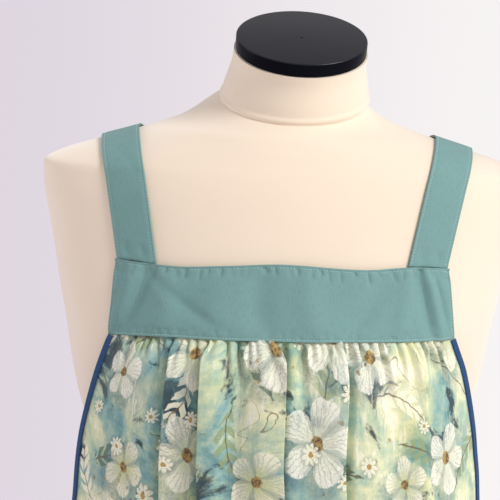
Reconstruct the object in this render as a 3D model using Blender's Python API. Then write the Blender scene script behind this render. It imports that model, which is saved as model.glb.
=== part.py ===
"""Pinafore smock on a limbless dress form.

Metres, +Z up. The front faces -Y, and the origin is on the floor under the pole.
Heights are above the floor. An angle round the body is measured from the middle of
the front (or, on a back piece, from the middle of the back) towards the sides.
"""

import math
from collections import namedtuple

import bmesh
import bpy
from mathutils import Matrix, Vector

# Cloth
YOKE_TOP = 1.275
YOKE_HEIGHT = 0.065
YOKE_BOTTOM = YOKE_TOP - YOKE_HEIGHT
ARMHOLE_BOTTOM = 0.985
STRAP_WIDTH = 0.033
STRAP_AT_YOKE = 0.1180
STRAP_AT_SHOULDER = {-1: 0.1388, 1: 0.1428}
STRAP_WIDTH_ON_SHOULDER = 0.0314
SHOULDER_SLOPE = 0.30
DOUBLE_CLOTH = 0.0018
SINGLE_CLOTH = 0.0014
BINDING_WIDTH = 0.0065
BINDING_CLOTH = 0.0009
BINDING_GAP = 0.0009
BINDING_GAP_UNDER_ARM = 0.0014
BINDING_TURNS_DOWN = 0.030
SEAM_GAP = 0.0003
CLOTH_OFF_FORM = 0.0021

# Stand
FORM_BOTTOM = 0.765
FORM_CREST = 1.325
BACK_LEAN_SHARE = 0.45
POLE_RADIUS = 0.016
BASE_RADIUS = 0.190
BASE_THICKNESS = 0.016
COLLAR_RADIUS = 0.030
COLLAR_TOP = 0.055
FOOT_ROUNDING = 0.003
RIM_ROUNDING = 0.004
COLLAR_SPREAD = 0.002
NECK_TOP_RADIUS = 0.0562
NECK_LENGTH = 0.0407
NECK_LEAN = math.radians(17.6)
NECK_TOWARDS_RIGHT = 0.09
CAP_LEAN = math.radians(21.6)
CAP_SIDE_LEAN = math.radians(1.8)
NECK_BASE = Vector((0.0070, -0.004, 1.4035))
CAP_RADIUS = 0.0550
CAP_THICKNESS = 0.0117
CAP_BEVEL = 0.0012

# Mesh fineness
FORM_SIDES = 32
FORM_STEP = 0.026
COLUMNS_PER_GATHER = 3
STRAP_STEPS = 22
STRAP_COLUMNS = 5
STRAP_TRACE_STEPS = 60
YOKE_COLUMNS = 30
YOKE_ROWS = 2

# A level section through the body; lean tips it forwards, as its rise per metre of depth,
# less at the back.
Section = namedtuple("Section", "z half_width front back lean", defaults=[0.0])

# The padded torso, from the hips to under the neck.
TORSO = [
    Section(0.765, 0.170, 0.098, 0.122),
    Section(0.800, 0.176, 0.104, 0.128),
    Section(0.840, 0.178, 0.106, 0.131),
    Section(0.900, 0.169, 0.104, 0.121),
    Section(0.960, 0.146, 0.099, 0.103),
    Section(1.010, 0.131, 0.096, 0.090),
    Section(1.060, 0.137, 0.101, 0.091),
    Section(1.110, 0.158, 0.116, 0.098),
    Section(1.150, 0.171, 0.130, 0.103),
    Section(1.185, 0.178, 0.137, 0.106),
    Section(1.210, 0.182, 0.134, 0.108),
    Section(1.240, 0.188, 0.124, 0.110),
    Section(1.275, 0.194, 0.112, 0.110),
    Section(1.300, 0.199, 0.105, 0.107),
    Section(1.325, 0.2035, 0.098, 0.101),
    Section(1.341, 0.2040, 0.092, 0.093),
    Section(1.351, 0.188, 0.087, 0.088),
    Section(1.361, 0.157, 0.082, 0.082),
    Section(1.370, 0.127, 0.077, 0.076),
    Section(1.386, 0.084, 0.072, 0.067, 0.17),
    Section(1.399, 0.067, 0.068, 0.062, 0.317),
    Section(1.4045, 0.050, 0.050, 0.050, 0.317),
]

# The hanging cloth below the yokes, to the middle of its wall, without its folds.
HANG = [
    Section(0.500, 0.228, 0.183, 0.181),
    Section(0.600, 0.220, 0.177, 0.176),
    Section(0.700, 0.212, 0.171, 0.171),
    Section(0.800, 0.204, 0.165, 0.165),
    Section(0.900, 0.196, 0.159, 0.157),
    Section(0.980, 0.191, 0.156, 0.148),
    Section(1.050, 0.188, 0.154, 0.139),
    Section(1.110, 0.1875, 0.154, 0.130),
    Section(1.150, 0.1885, 0.153, 0.124),
    Section(1.185, 0.1875, 0.147, 0.118),
    Section(1.210, 0.1850, 0.137, 0.111),
    Section(1.216, 0.1863, 0.1355, 0.1115),
]

# Up the neck: its radius, and how far it flares out into the chest at the front.
NeckRow = namedtuple("NeckRow", "rise radius flare")

NECK_ROWS = [
    NeckRow(-0.0230, 0.0620, 0.0159),
    NeckRow(-0.0180, 0.0620, 0.0068),
    NeckRow(-0.0120, 0.0620, 0.0027),
    NeckRow(-0.0058, 0.0620, 0.0006),
    NeckRow(0.0000, 0.0635, 0.0000),
    NeckRow(0.0058, 0.0616, 0.0000),
    NeckRow(0.0150, 0.0596, 0.0000),
    NeckRow(0.0250, 0.0572, 0.0000),
    NeckRow(0.0340, NECK_TOP_RADIUS, 0.0000),
    NeckRow(NECK_LENGTH, NECK_TOP_RADIUS, 0.0000),
]

Edge = namedtuple("Edge", "z angle fan twist")

# Where a panel ends at the armhole or the side seam, as an angle from the middle of the
# panel, how far its folds have fanned out there, and how far the front has slipped round.
PANEL_EDGE = [
    Edge(0.500, 90.0, 90.0, 0.0),
    Edge(0.800, 90.0, 82.0, 0.0),
    Edge(0.985, 90.0, 73.8, 0.0),
    Edge(0.990, 83.0, 73.2, 0.2),
    Edge(1.000, 76.5, 71.6, 0.6),
    Edge(1.020, 69.4, 68.4, 1.5),
    Edge(1.060, 64.9, 64.9, 2.5),
    Edge(1.095, 63.3, 63.3, 2.1),
    Edge(1.120, 61.2, 61.2, 1.6),
    Edge(1.150, 57.5, 57.5, 1.6),
    Edge(1.185, 53.3, 53.3, 1.6),
    Edge(1.210, 49.9, 49.9, 1.2),
]

YokeEnd = namedtuple("YokeEnd", "z half_width twist")

YOKE_ENDS = [YokeEnd(1.210, 0.1402, 1.1), YokeEnd(1.275, 0.1350, 0.2)]

# How far the yoke's top edge and its bottom seam lie above or below their level lines,
# by the share of the yoke's half width, from its left end to its right end.
YokeLine = namedtuple("YokeLine", "share top bottom")

FRONT_YOKE_LINES = [
    YokeLine(-1.00, -0.0047, -0.0016),
    YokeLine(-0.60, -0.0062, 0.0034),
    YokeLine(-0.30, -0.0034, 0.0045),
    YokeLine(0.00, -0.0005, 0.0055),
    YokeLine(0.45, -0.0034, 0.0057),
    YokeLine(0.75, -0.0016, 0.0046),
    YokeLine(1.00, -0.0038, 0.0038),
]
BACK_YOKE_LINES = [
    YokeLine(-1.00, -0.0042, 0.0010),
    YokeLine(-0.55, -0.0036, 0.0040),
    YokeLine(0.00, -0.0006, 0.0050),
    YokeLine(0.60, -0.0040, 0.0038),
    YokeLine(1.00, -0.0042, 0.0010),
]
SEAM_LINE_FADE = 0.15

# A long fold: its line as a share of the panel's half width, its height, which way its
# steep side faces (-1 to the left of the panel, 1 to the right), the widths of its steep
# and its soft side, how far its edge leans over, and how much of it reaches the hem.
Fold = namedtuple("Fold", "line height faces steep soft lean at_hem")

FRONT_FOLDS = [
    Fold(-0.555, 0.0050, -1, 0.022, 0.14, 0.0015, 1.3),
    Fold(-0.362, 0.0088, -1, 0.022, 0.16, 0.0030, 1.2),
    Fold(-0.040, 0.0098, 1, 0.022, 0.22, 0.0035, 1.2),
    Fold(0.287, 0.0054, 1, 0.022, 0.16, 0.0018, 1.4),
    Fold(0.70, 0.0045, 1, 0.050, 0.16, 0.0000, 1.5),
]
BACK_FOLDS = [
    Fold(-0.55, 0.0070, -1, 0.030, 0.20, 0.0020, 1.3),
    Fold(-0.12, 0.0080, 1, 0.030, 0.24, 0.0025, 1.3),
    Fold(0.30, 0.0070, -1, 0.030, 0.20, 0.0020, 1.2),
    Fold(0.68, 0.0050, 1, 0.045, 0.16, 0.0000, 1.4),
]

# The heights of the skirt's rows, as drops below the yoke.
ROW_DROPS = [
    0.0, 0.004, 0.010, 0.019, 0.032, 0.050, 0.080, 0.120, 0.160,
    0.190, 0.207, 0.217, 0.222, 0.225, 0.300, 0.400, 0.500, 0.600, 0.710,
]
ARMHOLE_ROWS = 14

Panel = namedtuple("Panel", "facing gathers folds lines twisted seed")

FRONT = Panel(1, 28, FRONT_FOLDS, FRONT_YOKE_LINES, 1, 0.0)
BACK = Panel(-1, 18, BACK_FOLDS, BACK_YOKE_LINES, 0, 2.6)

GATHER_HEIGHT = 0.0026
GATHER_FADE = 0.050
HEM_WAVES = 5
HEM_WAVE_HEIGHT = 0.008


def clear_scene():
    for obj in list(bpy.data.objects):
        bpy.data.objects.remove(obj, do_unlink=True)


def material(name, colour, roughness, metallic=0.0):
    made = bpy.data.materials.new(name)
    made.use_nodes = True
    shader = made.node_tree.nodes["Principled BSDF"]
    shader.inputs["Base Color"].default_value = (*colour, 1.0)
    shader.inputs["Roughness"].default_value = roughness
    shader.inputs["Metallic"].default_value = metallic
    return made


def add_object(name, mesh_builder, finish, smooth_angle=40.0):
    mesh = bpy.data.meshes.new(name)
    mesh_builder.to_mesh(mesh)
    mesh_builder.free()
    mesh.materials.append(finish)
    mesh.shade_smooth()
    mesh.set_sharp_from_angle(angle=math.radians(smooth_angle))
    obj = bpy.data.objects.new(name, mesh)
    bpy.context.scene.collection.objects.link(obj)
    return obj


def smooth_step(value):
    value = min(1.0, max(0.0, value))
    return value * value * (3.0 - 2.0 * value)


def between(table, place):
    """The table's row at this place in its first column, on a smooth curve through its rows."""
    if place <= table[0][0]:
        return type(table[0])(place, *table[0][1:])
    if place >= table[-1][0]:
        return type(table[0])(place, *table[-1][1:])
    upper = next(index for index, row in enumerate(table) if row[0] > place)
    low, high = table[upper - 1], table[upper]
    before = table[max(upper - 2, 0)]
    after = table[min(upper + 1, len(table) - 1)]
    span = high[0] - low[0]
    t = (place - low[0]) / span
    values = [place]
    for column in range(1, len(low)):
        rise_low = slope(before, low, high, column) * span
        rise_high = slope(low, high, after, column) * span
        values.append(
            (2 * t**3 - 3 * t**2 + 1) * low[column]
            + (t**3 - 2 * t**2 + t) * rise_low
            + (3 * t**2 - 2 * t**3) * high[column]
            + (t**3 - t**2) * rise_high
        )
    return type(low)(*values)


def slope(before, here, after, column):
    """The curve's slope at a row: flat at a peak, and never past its neighbours."""
    down = (here[column] - before[column]) / max(here[0] - before[0], 1e-9)
    up = (after[column] - here[column]) / max(after[0] - here[0], 1e-9)
    if here[0] == before[0]:
        return up
    if after[0] == here[0]:
        return down
    if down * up <= 0:
        return 0.0
    return 2 * down * up / (down + up)


def ring_point(section, angle, facing=1):
    """A point on the body's outline, by its angle from the middle of the front or back."""
    depth = section.front if math.cos(angle) * facing > 0 else section.back
    y = -facing * depth * math.cos(angle)
    rise = section.lean * (y if y < 0 else BACK_LEAN_SHARE * y)
    return Vector((section.half_width * math.sin(angle), y, section.z + rise))


def ring_outward(section, angle, facing=1):
    depth = section.front if math.cos(angle) * facing > 0 else section.back
    outward = Vector((
        math.sin(angle) * depth,
        -facing * math.cos(angle) * section.half_width,
        0.0,
    ))
    return outward.normalized()


def add_wall(name, columns, rows, place, thickness, finish):
    """A cloth wall whose middle is at place(column, row), with the same thickness each way."""
    builder = bmesh.new()
    bmesh.ops.create_grid(builder, x_segments=columns, y_segments=rows, size=0.5)
    for vertex in builder.verts:
        vertex.co = place(vertex.co.x + 0.5, vertex.co.y + 0.5)
    obj = add_object(name, builder, finish, 75.0)
    wall = obj.modifiers.new("Cloth", "SOLIDIFY")
    wall.thickness = thickness
    wall.offset = 0.0
    return obj


def gather_wave(panel, share, drop):
    """The small gathers under the yoke, uneven in height and in length."""
    turn = math.pi * panel.gathers * (share + 1.0)
    number = math.floor(turn / (2 * math.pi))
    uneven = 0.5 + 0.5 * math.sin(number * 2.4 + panel.seed)
    reach = GATHER_FADE * (0.55 + 0.9 * (0.5 + 0.5 * math.sin(number * 1.7 + 1.0 + panel.seed)))
    grow = smooth_step(drop / 0.012) * 0.75 + 0.25
    fade = 1.0 - smooth_step(drop / (2 * reach))
    return -math.cos(turn) * GATHER_HEIGHT * (0.6 + 0.6 * uneven) * grow * fade


def long_fold(fold, share, drop):
    """How far a long fold lifts the cloth and how far its edge leans over, at this place."""
    along = (fold.line - share) * fold.faces
    lift = smooth_step((along + fold.steep) / fold.steep)
    lift *= 1.0 - smooth_step(along / fold.soft)
    edge = max(0.0, 1.0 - abs(along) / fold.steep)
    grow = 0.25 + 0.75 * smooth_step(drop / 0.035)
    down = smooth_step((drop - 0.10) / 0.60)
    height = fold.height * grow * (1.0 + (fold.at_hem - 1.0) * down)
    return height * lift, fold.faces * fold.lean * edge * grow


def skirt_place(panel, share, z):
    """The middle of the skirt's wall, by its share of the panel's half width and its height."""
    drop = YOKE_BOTTOM - z
    top = PANEL_EDGE[-1].angle
    edge = between(PANEL_EDGE, z)
    angle = share * top + share**3 * (edge.fan - top) + share**13 * (edge.angle - edge.fan)
    angle = math.radians(angle + panel.twisted * edge.twist)
    z += between(panel.lines, share).bottom * (1.0 - smooth_step(drop / SEAM_LINE_FADE))
    section = between(HANG, z)
    point = ring_point(section, angle, panel.facing)
    outward = ring_outward(section, angle, panel.facing)
    aside = Vector((-outward.y, outward.x, 0.0)) * panel.facing
    lift = gather_wave(panel, share, drop)
    lean = 0.0
    for fold in panel.folds:
        fold_lift, fold_lean = long_fold(fold, share, drop)
        lift += fold_lift
        lean += fold_lean
    wave = math.sin(math.pi * HEM_WAVES * share + 0.8 + panel.seed)
    lift += HEM_WAVE_HEIGHT * wave * smooth_step((drop - 0.05) / 0.65)
    at_sides = 1.0 - smooth_step((abs(share) - 0.80) / 0.16)
    point += outward * lift * at_sides
    point += aside * lean * at_sides
    point.z = z
    return point


def skirt_rows(share_of_rows):
    """The height of a row, from its share of the rows, hem first."""
    last = len(ROW_DROPS) - 1
    drop = ROW_DROPS[last - round(share_of_rows * last)]
    return YOKE_BOTTOM - SEAM_GAP - drop


def make_skirt(name, panel, finish):
    columns = panel.gathers * COLUMNS_PER_GATHER
    side_gap = SEAM_GAP / 2

    def place(across, up):
        point = skirt_place(panel, 2 * across - 1, skirt_rows(up))
        # The side seams keep a small gap between the front and the back.
        if abs(point.y) < side_gap:
            point.y = -panel.facing * side_gap
        return point

    return add_wall(name, columns, len(ROW_DROPS) - 1, place, SINGLE_CLOTH, finish)


def yoke_top(panel, x):
    """The height of the yoke's top edge this far from the middle."""
    half_width = between(TORSO, YOKE_TOP).half_width
    ends = YOKE_ENDS[-1]
    angle = math.asin(x / half_width) - math.radians(panel.twisted * ends.twist)
    share = angle / math.asin(ends.half_width / half_width)
    return YOKE_TOP + between(panel.lines, share).top


def make_yoke(name, panel, finish):
    def place(across, up):
        share = 2 * across - 1
        line = between(panel.lines, share)
        low = YOKE_BOTTOM + line.bottom + SEAM_GAP / 2
        high = YOKE_TOP + line.top - SEAM_GAP / 2
        section = between(TORSO, low + up * (high - low))
        ends = between(YOKE_ENDS, section.z)
        angle = share * math.asin(ends.half_width / section.half_width)
        angle += math.radians(panel.twisted * ends.twist)
        outward = ring_outward(section, angle, panel.facing)
        return ring_point(section, angle, panel.facing) + CLOTH_OFF_FORM * outward

    return add_wall(name, YOKE_COLUMNS, YOKE_ROWS, place, DOUBLE_CLOTH, finish)


def shoulder_height(x):
    """The height of the shoulder's crest this far from the middle."""
    low, high = 1.341, TORSO[-1].z
    for _ in range(40):
        middle = (low + high) / 2
        if between(TORSO, middle).half_width > x:
            low = middle
        else:
            high = middle
    return low


def strap_rise(across, side, panel):
    """A line of the strap, from the yoke up to the shoulder's crest, on the form."""
    at_yoke = STRAP_AT_YOKE + across * STRAP_WIDTH
    at_shoulder = STRAP_AT_SHOULDER[side] + across * STRAP_WIDTH_ON_SHOULDER
    crest = shoulder_height(at_shoulder)
    bottom = yoke_top(panel, side * at_yoke) + SEAM_GAP / 2
    rise = []
    for step in range(STRAP_TRACE_STEPS + 1):
        turned_over = step / STRAP_TRACE_STEPS
        t = math.sin(math.pi / 2 * turned_over)
        section = between(TORSO, bottom + t * (crest - bottom))
        x = at_yoke + (t + turned_over) / 2 * (at_shoulder - at_yoke)
        inner = math.sqrt(max(0.0, 1 - (x / section.half_width) ** 2))
        depth = -section.front if panel.facing > 0 else section.back
        rise.append(Vector((x, inner * depth, section.z)))
    return rise


def over_shoulder(across, side):
    """A line of the strap, drawn tight over the shoulder, from the front yoke to the back."""
    front = strap_rise(across, side, FRONT)
    back = strap_rise(across, side, BACK)
    tight = []
    for point in front + back[-2::-1]:
        while len(tight) > 1 and not turns_over(tight[-2], tight[-1], point):
            tight.pop()
        tight.append(point)
    return tight


def turns_over(first, second, third):
    """Whether the line bends down over the shoulder at its second point."""
    into, out = second - first, third - second
    return into.y * out.z - into.z * out.y < 0


def along(line, share):
    """The point at this share of the line's length."""
    lengths = [(b - a).length for a, b in zip(line, line[1:])]
    wanted = share * sum(lengths)
    for (a, b), length in zip(zip(line, line[1:]), lengths):
        if wanted <= length:
            return a.lerp(b, wanted / length)
        wanted -= length
    return line[-1].copy()


def make_strap(name, side, finish):
    lines = {}

    def place(across, up):
        if across not in lines:
            lines[across] = over_shoulder(across - 0.5, side)
        ends = lines[across][0].z, lines[across][-1].z
        point = along(lines[across], up)
        before = along(lines[across], max(0.0, up - 0.02))
        after = along(lines[across], min(1.0, up + 0.02))
        run = (after - before).normalized()
        outward = Vector((0.0, -run.z, run.y))
        slope_out = Vector((SHOULDER_SLOPE * smooth_step((outward.z - 0.3) / 0.7), 0.0, 0.0))
        point += (outward + slope_out).normalized() * CLOTH_OFF_FORM
        if up in (0.0, 1.0):
            point.z = ends[int(up)]
        point.x *= side
        return point

    return add_wall(name, STRAP_COLUMNS, STRAP_STEPS, place, DOUBLE_CLOTH, finish)


def binding_rings(side):
    """The binding's cross-sections, from the front yoke's corner round to the back one."""
    rings = []
    down = ROW_DROPS[:ARMHOLE_ROWS]
    for panel, drops in ((FRONT, down), (BACK, down[-2::-1])):
        for drop in drops:
            z = YOKE_BOTTOM - SEAM_GAP - drop
            rings.append(binding_ring(panel, side, z))
    return rings


def binding_ring(panel, side, z):
    """Eight points round the panel's edge: a folded strip with a leg on each face."""
    edge = skirt_place(panel, side, z)
    next_column = 1.0 - 2.0 / (panel.gathers * COLUMNS_PER_GATHER)
    lower = BINDING_WIDTH * smooth_step((YOKE_BOTTOM - z) / BINDING_TURNS_DOWN)
    inner_cloth = skirt_place(panel, side * next_column, z - lower)
    if z <= ARMHOLE_BOTTOM + SEAM_GAP:
        edge.y = 0.0
        outward = Vector((side, 0.0, 0.0))
        inward = Vector((0.0, 0.0, -1.0))
    else:
        run = skirt_place(panel, side, min(z + 0.002, YOKE_BOTTOM))
        run = (run - skirt_place(panel, side, z - 0.002)).normalized()
        outward = run.cross(inner_cloth - edge).normalized()
        if outward.x * side + outward.y * edge.y < 0:
            outward.negate()
        inward = outward.cross(run)
        if inward.dot(inner_cloth - edge) < 0:
            inward.negate()
    inside = edge + inward * (BINDING_WIDTH - BINDING_CLOTH)
    past = edge - inward * SEAM_GAP
    beyond = edge - inward * (SEAM_GAP + BINDING_CLOTH)
    under_arm = smooth_step((ARMHOLE_BOTTOM + 0.020 - z) / 0.012)
    inner = SINGLE_CLOTH / 2 + BINDING_GAP + under_arm * (BINDING_GAP_UNDER_ARM - BINDING_GAP)
    outer = inner + BINDING_CLOTH
    return [
        inside + outward * inner,
        inside + outward * outer,
        beyond + outward * outer,
        beyond - outward * outer,
        inside - outward * outer,
        inside - outward * inner,
        past - outward * inner,
        past + outward * inner,
    ]


def loft(rings):
    """A closed solid through rings of equal count, with flat ends."""
    builder = bmesh.new()
    loops = [[builder.verts.new(point) for point in ring] for ring in rings]
    for lower, upper in zip(loops, loops[1:]):
        count = len(lower)
        for index in range(count):
            following = (index + 1) % count
            builder.faces.new((lower[index], lower[following], upper[following], upper[index]))
    builder.faces.new(loops[0][::-1])
    builder.faces.new(loops[-1])
    bmesh.ops.recalc_face_normals(builder, faces=builder.faces)
    return builder


def make_binding(name, side, finish):
    return add_object(name, loft(binding_rings(side)), finish)


def torso_rings():
    rings = []
    z = FORM_BOTTOM
    heights = []
    while z < FORM_CREST:
        heights.append(z)
        z += FORM_STEP
    heights += [row.z for row in TORSO if row.z >= FORM_CREST]
    for height in heights:
        section = between(TORSO, height)
        rings.append([
            ring_point(section, 2 * math.pi * index / FORM_SIDES) for index in range(FORM_SIDES)
        ])
    return rings


def neck_rings():
    """The neck leans forward, with a corded seam at its base."""
    rings = []
    for row in NECK_ROWS:
        share = min(1.0, max(0.0, row.rise / NECK_LENGTH))
        tilt = neck_tilt(share)
        centre = neck_centre(row.rise)
        ring = []
        for index in range(FORM_SIDES):
            angle = 2 * math.pi * index / FORM_SIDES
            radius = row.radius + row.flare * (1 + math.cos(angle)) / 2
            around = Vector((radius * math.sin(angle), -radius * math.cos(angle), 0.0))
            ring.append(centre + tilt @ around)
        rings.append(ring)
    return rings


def neck_tilt(share):
    lean = NECK_LEAN + share * (CAP_LEAN - NECK_LEAN)
    return Matrix.Rotation(share * CAP_SIDE_LEAN, 3, "Y") @ Matrix.Rotation(lean, 3, "X")


def neck_centre(rise):
    lean = (NECK_LEAN + CAP_LEAN) / 2
    return NECK_BASE + rise * Vector((NECK_TOWARDS_RIGHT, -math.sin(lean), math.cos(lean)))


def make_form(finish):
    """The torso with its neck joined on, as one closed solid."""
    torso = add_object("form_torso", loft(torso_rings()), finish)
    neck = add_object("neck_guide", loft(neck_rings()), finish)
    neck.hide_render = True
    neck.display_type = "WIRE"
    join = torso.modifiers.new("Neck", "BOOLEAN")
    join.operation = "UNION"
    join.object = neck
    return torso


def make_cap(finish):
    builder = bmesh.new()
    bmesh.ops.create_cone(
        builder, cap_ends=True, segments=40, radius1=CAP_RADIUS, radius2=CAP_RADIUS,
        depth=CAP_THICKNESS,
    )
    rims = [edge for edge in builder.edges if abs(edge.verts[0].co.z - edge.verts[1].co.z) < 1e-6]
    bmesh.ops.bevel(
        builder, geom=rims, offset=CAP_BEVEL, segments=1, profile=0.5, affect="EDGES", material=-1
    )
    tilt = neck_tilt(1.0)
    lift = tilt @ Vector((0.0, 0.0, CAP_THICKNESS / 2 + SEAM_GAP))
    place = Matrix.Translation(neck_centre(NECK_LENGTH) + lift) @ tilt.to_4x4()
    bmesh.ops.transform(builder, matrix=place, verts=builder.verts)
    return add_object("neck_cap", builder, finish)


def turned(name, profile, segments, finish):
    """A solid turned about the pole's axis, from (radius, height) points, bottom first."""
    rings = [
        [
            Vector((
                radius * math.cos(2 * math.pi * index / segments),
                radius * math.sin(2 * math.pi * index / segments),
                height,
            ))
            for index in range(segments)
        ]
        for radius, height in profile
    ]
    return add_object(name, loft(rings), finish)


def make_stand(steel):
    turned("stand_base", [
        (BASE_RADIUS - FOOT_ROUNDING, 0.0),
        (BASE_RADIUS, FOOT_ROUNDING),
        (BASE_RADIUS, BASE_THICKNESS - RIM_ROUNDING),
        (BASE_RADIUS - RIM_ROUNDING, BASE_THICKNESS),
    ], 40, steel)
    turned("stand_collar", [
        (COLLAR_RADIUS + COLLAR_SPREAD, BASE_THICKNESS + SEAM_GAP),
        (COLLAR_RADIUS, COLLAR_TOP - FOOT_ROUNDING),
        (COLLAR_RADIUS - FOOT_ROUNDING, COLLAR_TOP),
    ], 32, steel)
    turned("stand_pole", [
        (POLE_RADIUS, COLLAR_TOP + SEAM_GAP),
        (POLE_RADIUS, FORM_BOTTOM - SEAM_GAP),
    ], 24, steel)


def main():
    clear_scene()
    teal = material("teal_cotton", (0.155, 0.325, 0.290), 0.85)
    teal_straps = material("teal_cotton_straps", (0.155, 0.325, 0.290), 0.85)
    print_cloth = material("printed_cotton", (0.420, 0.520, 0.440), 0.85)
    navy = material("navy_bias", (0.020, 0.070, 0.150), 0.80)
    jersey = material("cream_jersey", (0.820, 0.740, 0.620), 0.90)
    black = material("black_satin", (0.012, 0.012, 0.014), 0.35)
    steel = material("painted_steel", (0.020, 0.020, 0.022), 0.45)
    make_form(jersey)
    make_cap(black)
    make_stand(steel)
    make_yoke("front_yoke", FRONT, teal)
    make_yoke("back_yoke", BACK, teal)
    make_strap("strap_left", -1, teal_straps)
    make_strap("strap_right", 1, teal_straps)
    make_skirt("front_skirt", FRONT, print_cloth)
    make_skirt("back_skirt", BACK, print_cloth)
    make_binding("armhole_binding_left", -1, navy)
    make_binding("armhole_binding_right", 1, navy)


main()
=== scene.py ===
import math
import random
from collections import namedtuple

import bmesh
import bpy
from mathutils import Matrix, Vector


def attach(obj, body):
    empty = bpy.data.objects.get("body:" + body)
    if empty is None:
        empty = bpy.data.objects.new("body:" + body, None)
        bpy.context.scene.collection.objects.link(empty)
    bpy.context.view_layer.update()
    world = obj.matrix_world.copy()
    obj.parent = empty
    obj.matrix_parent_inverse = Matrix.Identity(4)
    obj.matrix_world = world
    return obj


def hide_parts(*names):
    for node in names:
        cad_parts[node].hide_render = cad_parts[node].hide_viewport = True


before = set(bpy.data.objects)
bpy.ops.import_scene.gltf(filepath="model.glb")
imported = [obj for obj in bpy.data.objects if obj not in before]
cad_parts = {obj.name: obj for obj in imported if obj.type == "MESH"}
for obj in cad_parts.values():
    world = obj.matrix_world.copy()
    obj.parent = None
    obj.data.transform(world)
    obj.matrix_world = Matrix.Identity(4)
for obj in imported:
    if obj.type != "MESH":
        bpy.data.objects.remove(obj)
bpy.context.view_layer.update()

# Pinafore smock on a limbless dress form. Metres, +Z up, the front faces -Y.
# An angle round the body runs from the middle of the front (or of the back) to the sides.

Section = namedtuple("Section", "z halfWidth front back lean", defaults=[0.0])
Edge = namedtuple("Edge", "z angle fan twist")
YokeEnd = namedtuple("YokeEnd", "z halfWidth twist")
YokeLine = namedtuple("YokeLine", "share top bottom")
ClothPerAngle = namedtuple("ClothPerAngle", "z metres")
Fold = namedtuple("Fold", "line height faces steep soft lean tuck atHem")
Crease = namedtuple("Crease", "start bend end height width")

garment = {
    "yokeTop": 1.275,
    "yokeBottom": 1.210,
    "armholeBottom": 0.985,
    "doubleCloth": 0.0018,
    "singleCloth": 0.0009,
    "offForm": 0.0021,
    "leastOffForm": 0.0002,
    "seamGap": 0.0003,
}

form = {
    "sides": 144, "rowEvery": 0.007, "rowsInCrown": 4, "bottom": 0.765, "crest": 1.325,
    "backLean": 0.45,
}

# The padded torso, from the hips to under the neck, as level sections; lean tips one
# forwards, as its rise per metre of depth.
torsoSections = [
    Section(0.765, 0.170, 0.098, 0.122),
    Section(0.800, 0.176, 0.104, 0.128),
    Section(0.840, 0.178, 0.106, 0.131),
    Section(0.900, 0.169, 0.104, 0.121),
    Section(0.960, 0.146, 0.099, 0.103),
    Section(1.010, 0.131, 0.096, 0.090),
    Section(1.060, 0.137, 0.101, 0.091),
    Section(1.110, 0.158, 0.116, 0.098),
    Section(1.150, 0.171, 0.130, 0.103),
    Section(1.185, 0.178, 0.137, 0.106),
    Section(1.210, 0.182, 0.134, 0.108),
    Section(1.240, 0.188, 0.124, 0.110),
    Section(1.275, 0.194, 0.112, 0.110),
    Section(1.300, 0.199, 0.105, 0.107),
    Section(1.325, 0.2035, 0.098, 0.101),
    Section(1.341, 0.2040, 0.092, 0.093),
    Section(1.351, 0.188, 0.087, 0.088),
    Section(1.361, 0.157, 0.082, 0.082),
    Section(1.370, 0.127, 0.077, 0.076),
    Section(1.386, 0.082, 0.072, 0.067, 0.17),
    Section(1.399, 0.065, 0.068, 0.062, 0.317),
    Section(1.4065, 0.050, 0.050, 0.050, 0.317),
]

# The hanging cloth below the yokes, to the middle of its wall, without its folds.
hangSections = [
    Section(0.500, 0.228, 0.183, 0.181),
    Section(0.600, 0.220, 0.177, 0.176),
    Section(0.700, 0.212, 0.171, 0.171),
    Section(0.800, 0.204, 0.165, 0.165),
    Section(0.900, 0.196, 0.159, 0.157),
    Section(0.980, 0.191, 0.156, 0.148),
    Section(1.050, 0.188, 0.154, 0.139),
    Section(1.110, 0.1875, 0.154, 0.130),
    Section(1.150, 0.1885, 0.153, 0.124),
    Section(1.185, 0.1875, 0.147, 0.118),
    Section(1.210, 0.1850, 0.137, 0.111),
    Section(1.216, 0.1863, 0.1355, 0.1115),
]

# Where a skirt panel ends at the armhole or side seam, how far its folds fan out there,
# and how far the front has slipped round.
panelEdges = [
    Edge(0.500, 90.0, 90.0, 0.0),
    Edge(0.800, 90.0, 82.0, 0.0),
    Edge(0.985, 90.0, 73.8, 0.0),
    Edge(0.990, 83.0, 73.2, 0.2),
    Edge(1.000, 76.5, 71.6, 0.6),
    Edge(1.020, 69.4, 68.4, 1.5),
    Edge(1.060, 64.9, 64.9, 2.5),
    Edge(1.095, 63.3, 63.3, 2.1),
    Edge(1.120, 61.2, 61.2, 1.6),
    Edge(1.150, 57.5, 57.5, 1.6),
    Edge(1.185, 53.3, 53.3, 1.6),
    Edge(1.210, 49.9, 49.9, 1.2),
]
yokeEnds = [YokeEnd(1.210, 0.1402, 1.1), YokeEnd(1.275, 0.1350, 0.2)]

# How far the yoke's top edge and its bottom seam lie off their level lines, by the share
# of its half width, from its left end to its right end.
frontLines = [
    YokeLine(-1.00, -0.0047, -0.0016),
    YokeLine(-0.60, -0.0062, 0.0034),
    YokeLine(-0.30, -0.0034, 0.0045),
    YokeLine(0.00, -0.0005, 0.0055),
    YokeLine(0.45, -0.0034, 0.0057),
    YokeLine(0.75, -0.0016, 0.0046),
    YokeLine(1.00, -0.0038, 0.0038),
]
backLines = [
    YokeLine(-1.00, -0.0042, 0.0010),
    YokeLine(-0.55, -0.0036, 0.0040),
    YokeLine(0.00, -0.0006, 0.0050),
    YokeLine(0.60, -0.0040, 0.0038),
    YokeLine(1.00, -0.0042, 0.0010),
]

# How much flat cloth there is for each radian round the body: most where it is gathered.
clothPerAngle = [
    ClothPerAngle(0.500, 0.216),
    ClothPerAngle(0.985, 0.212),
    ClothPerAngle(1.120, 0.222),
    ClothPerAngle(1.210, 0.248),
]


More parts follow.
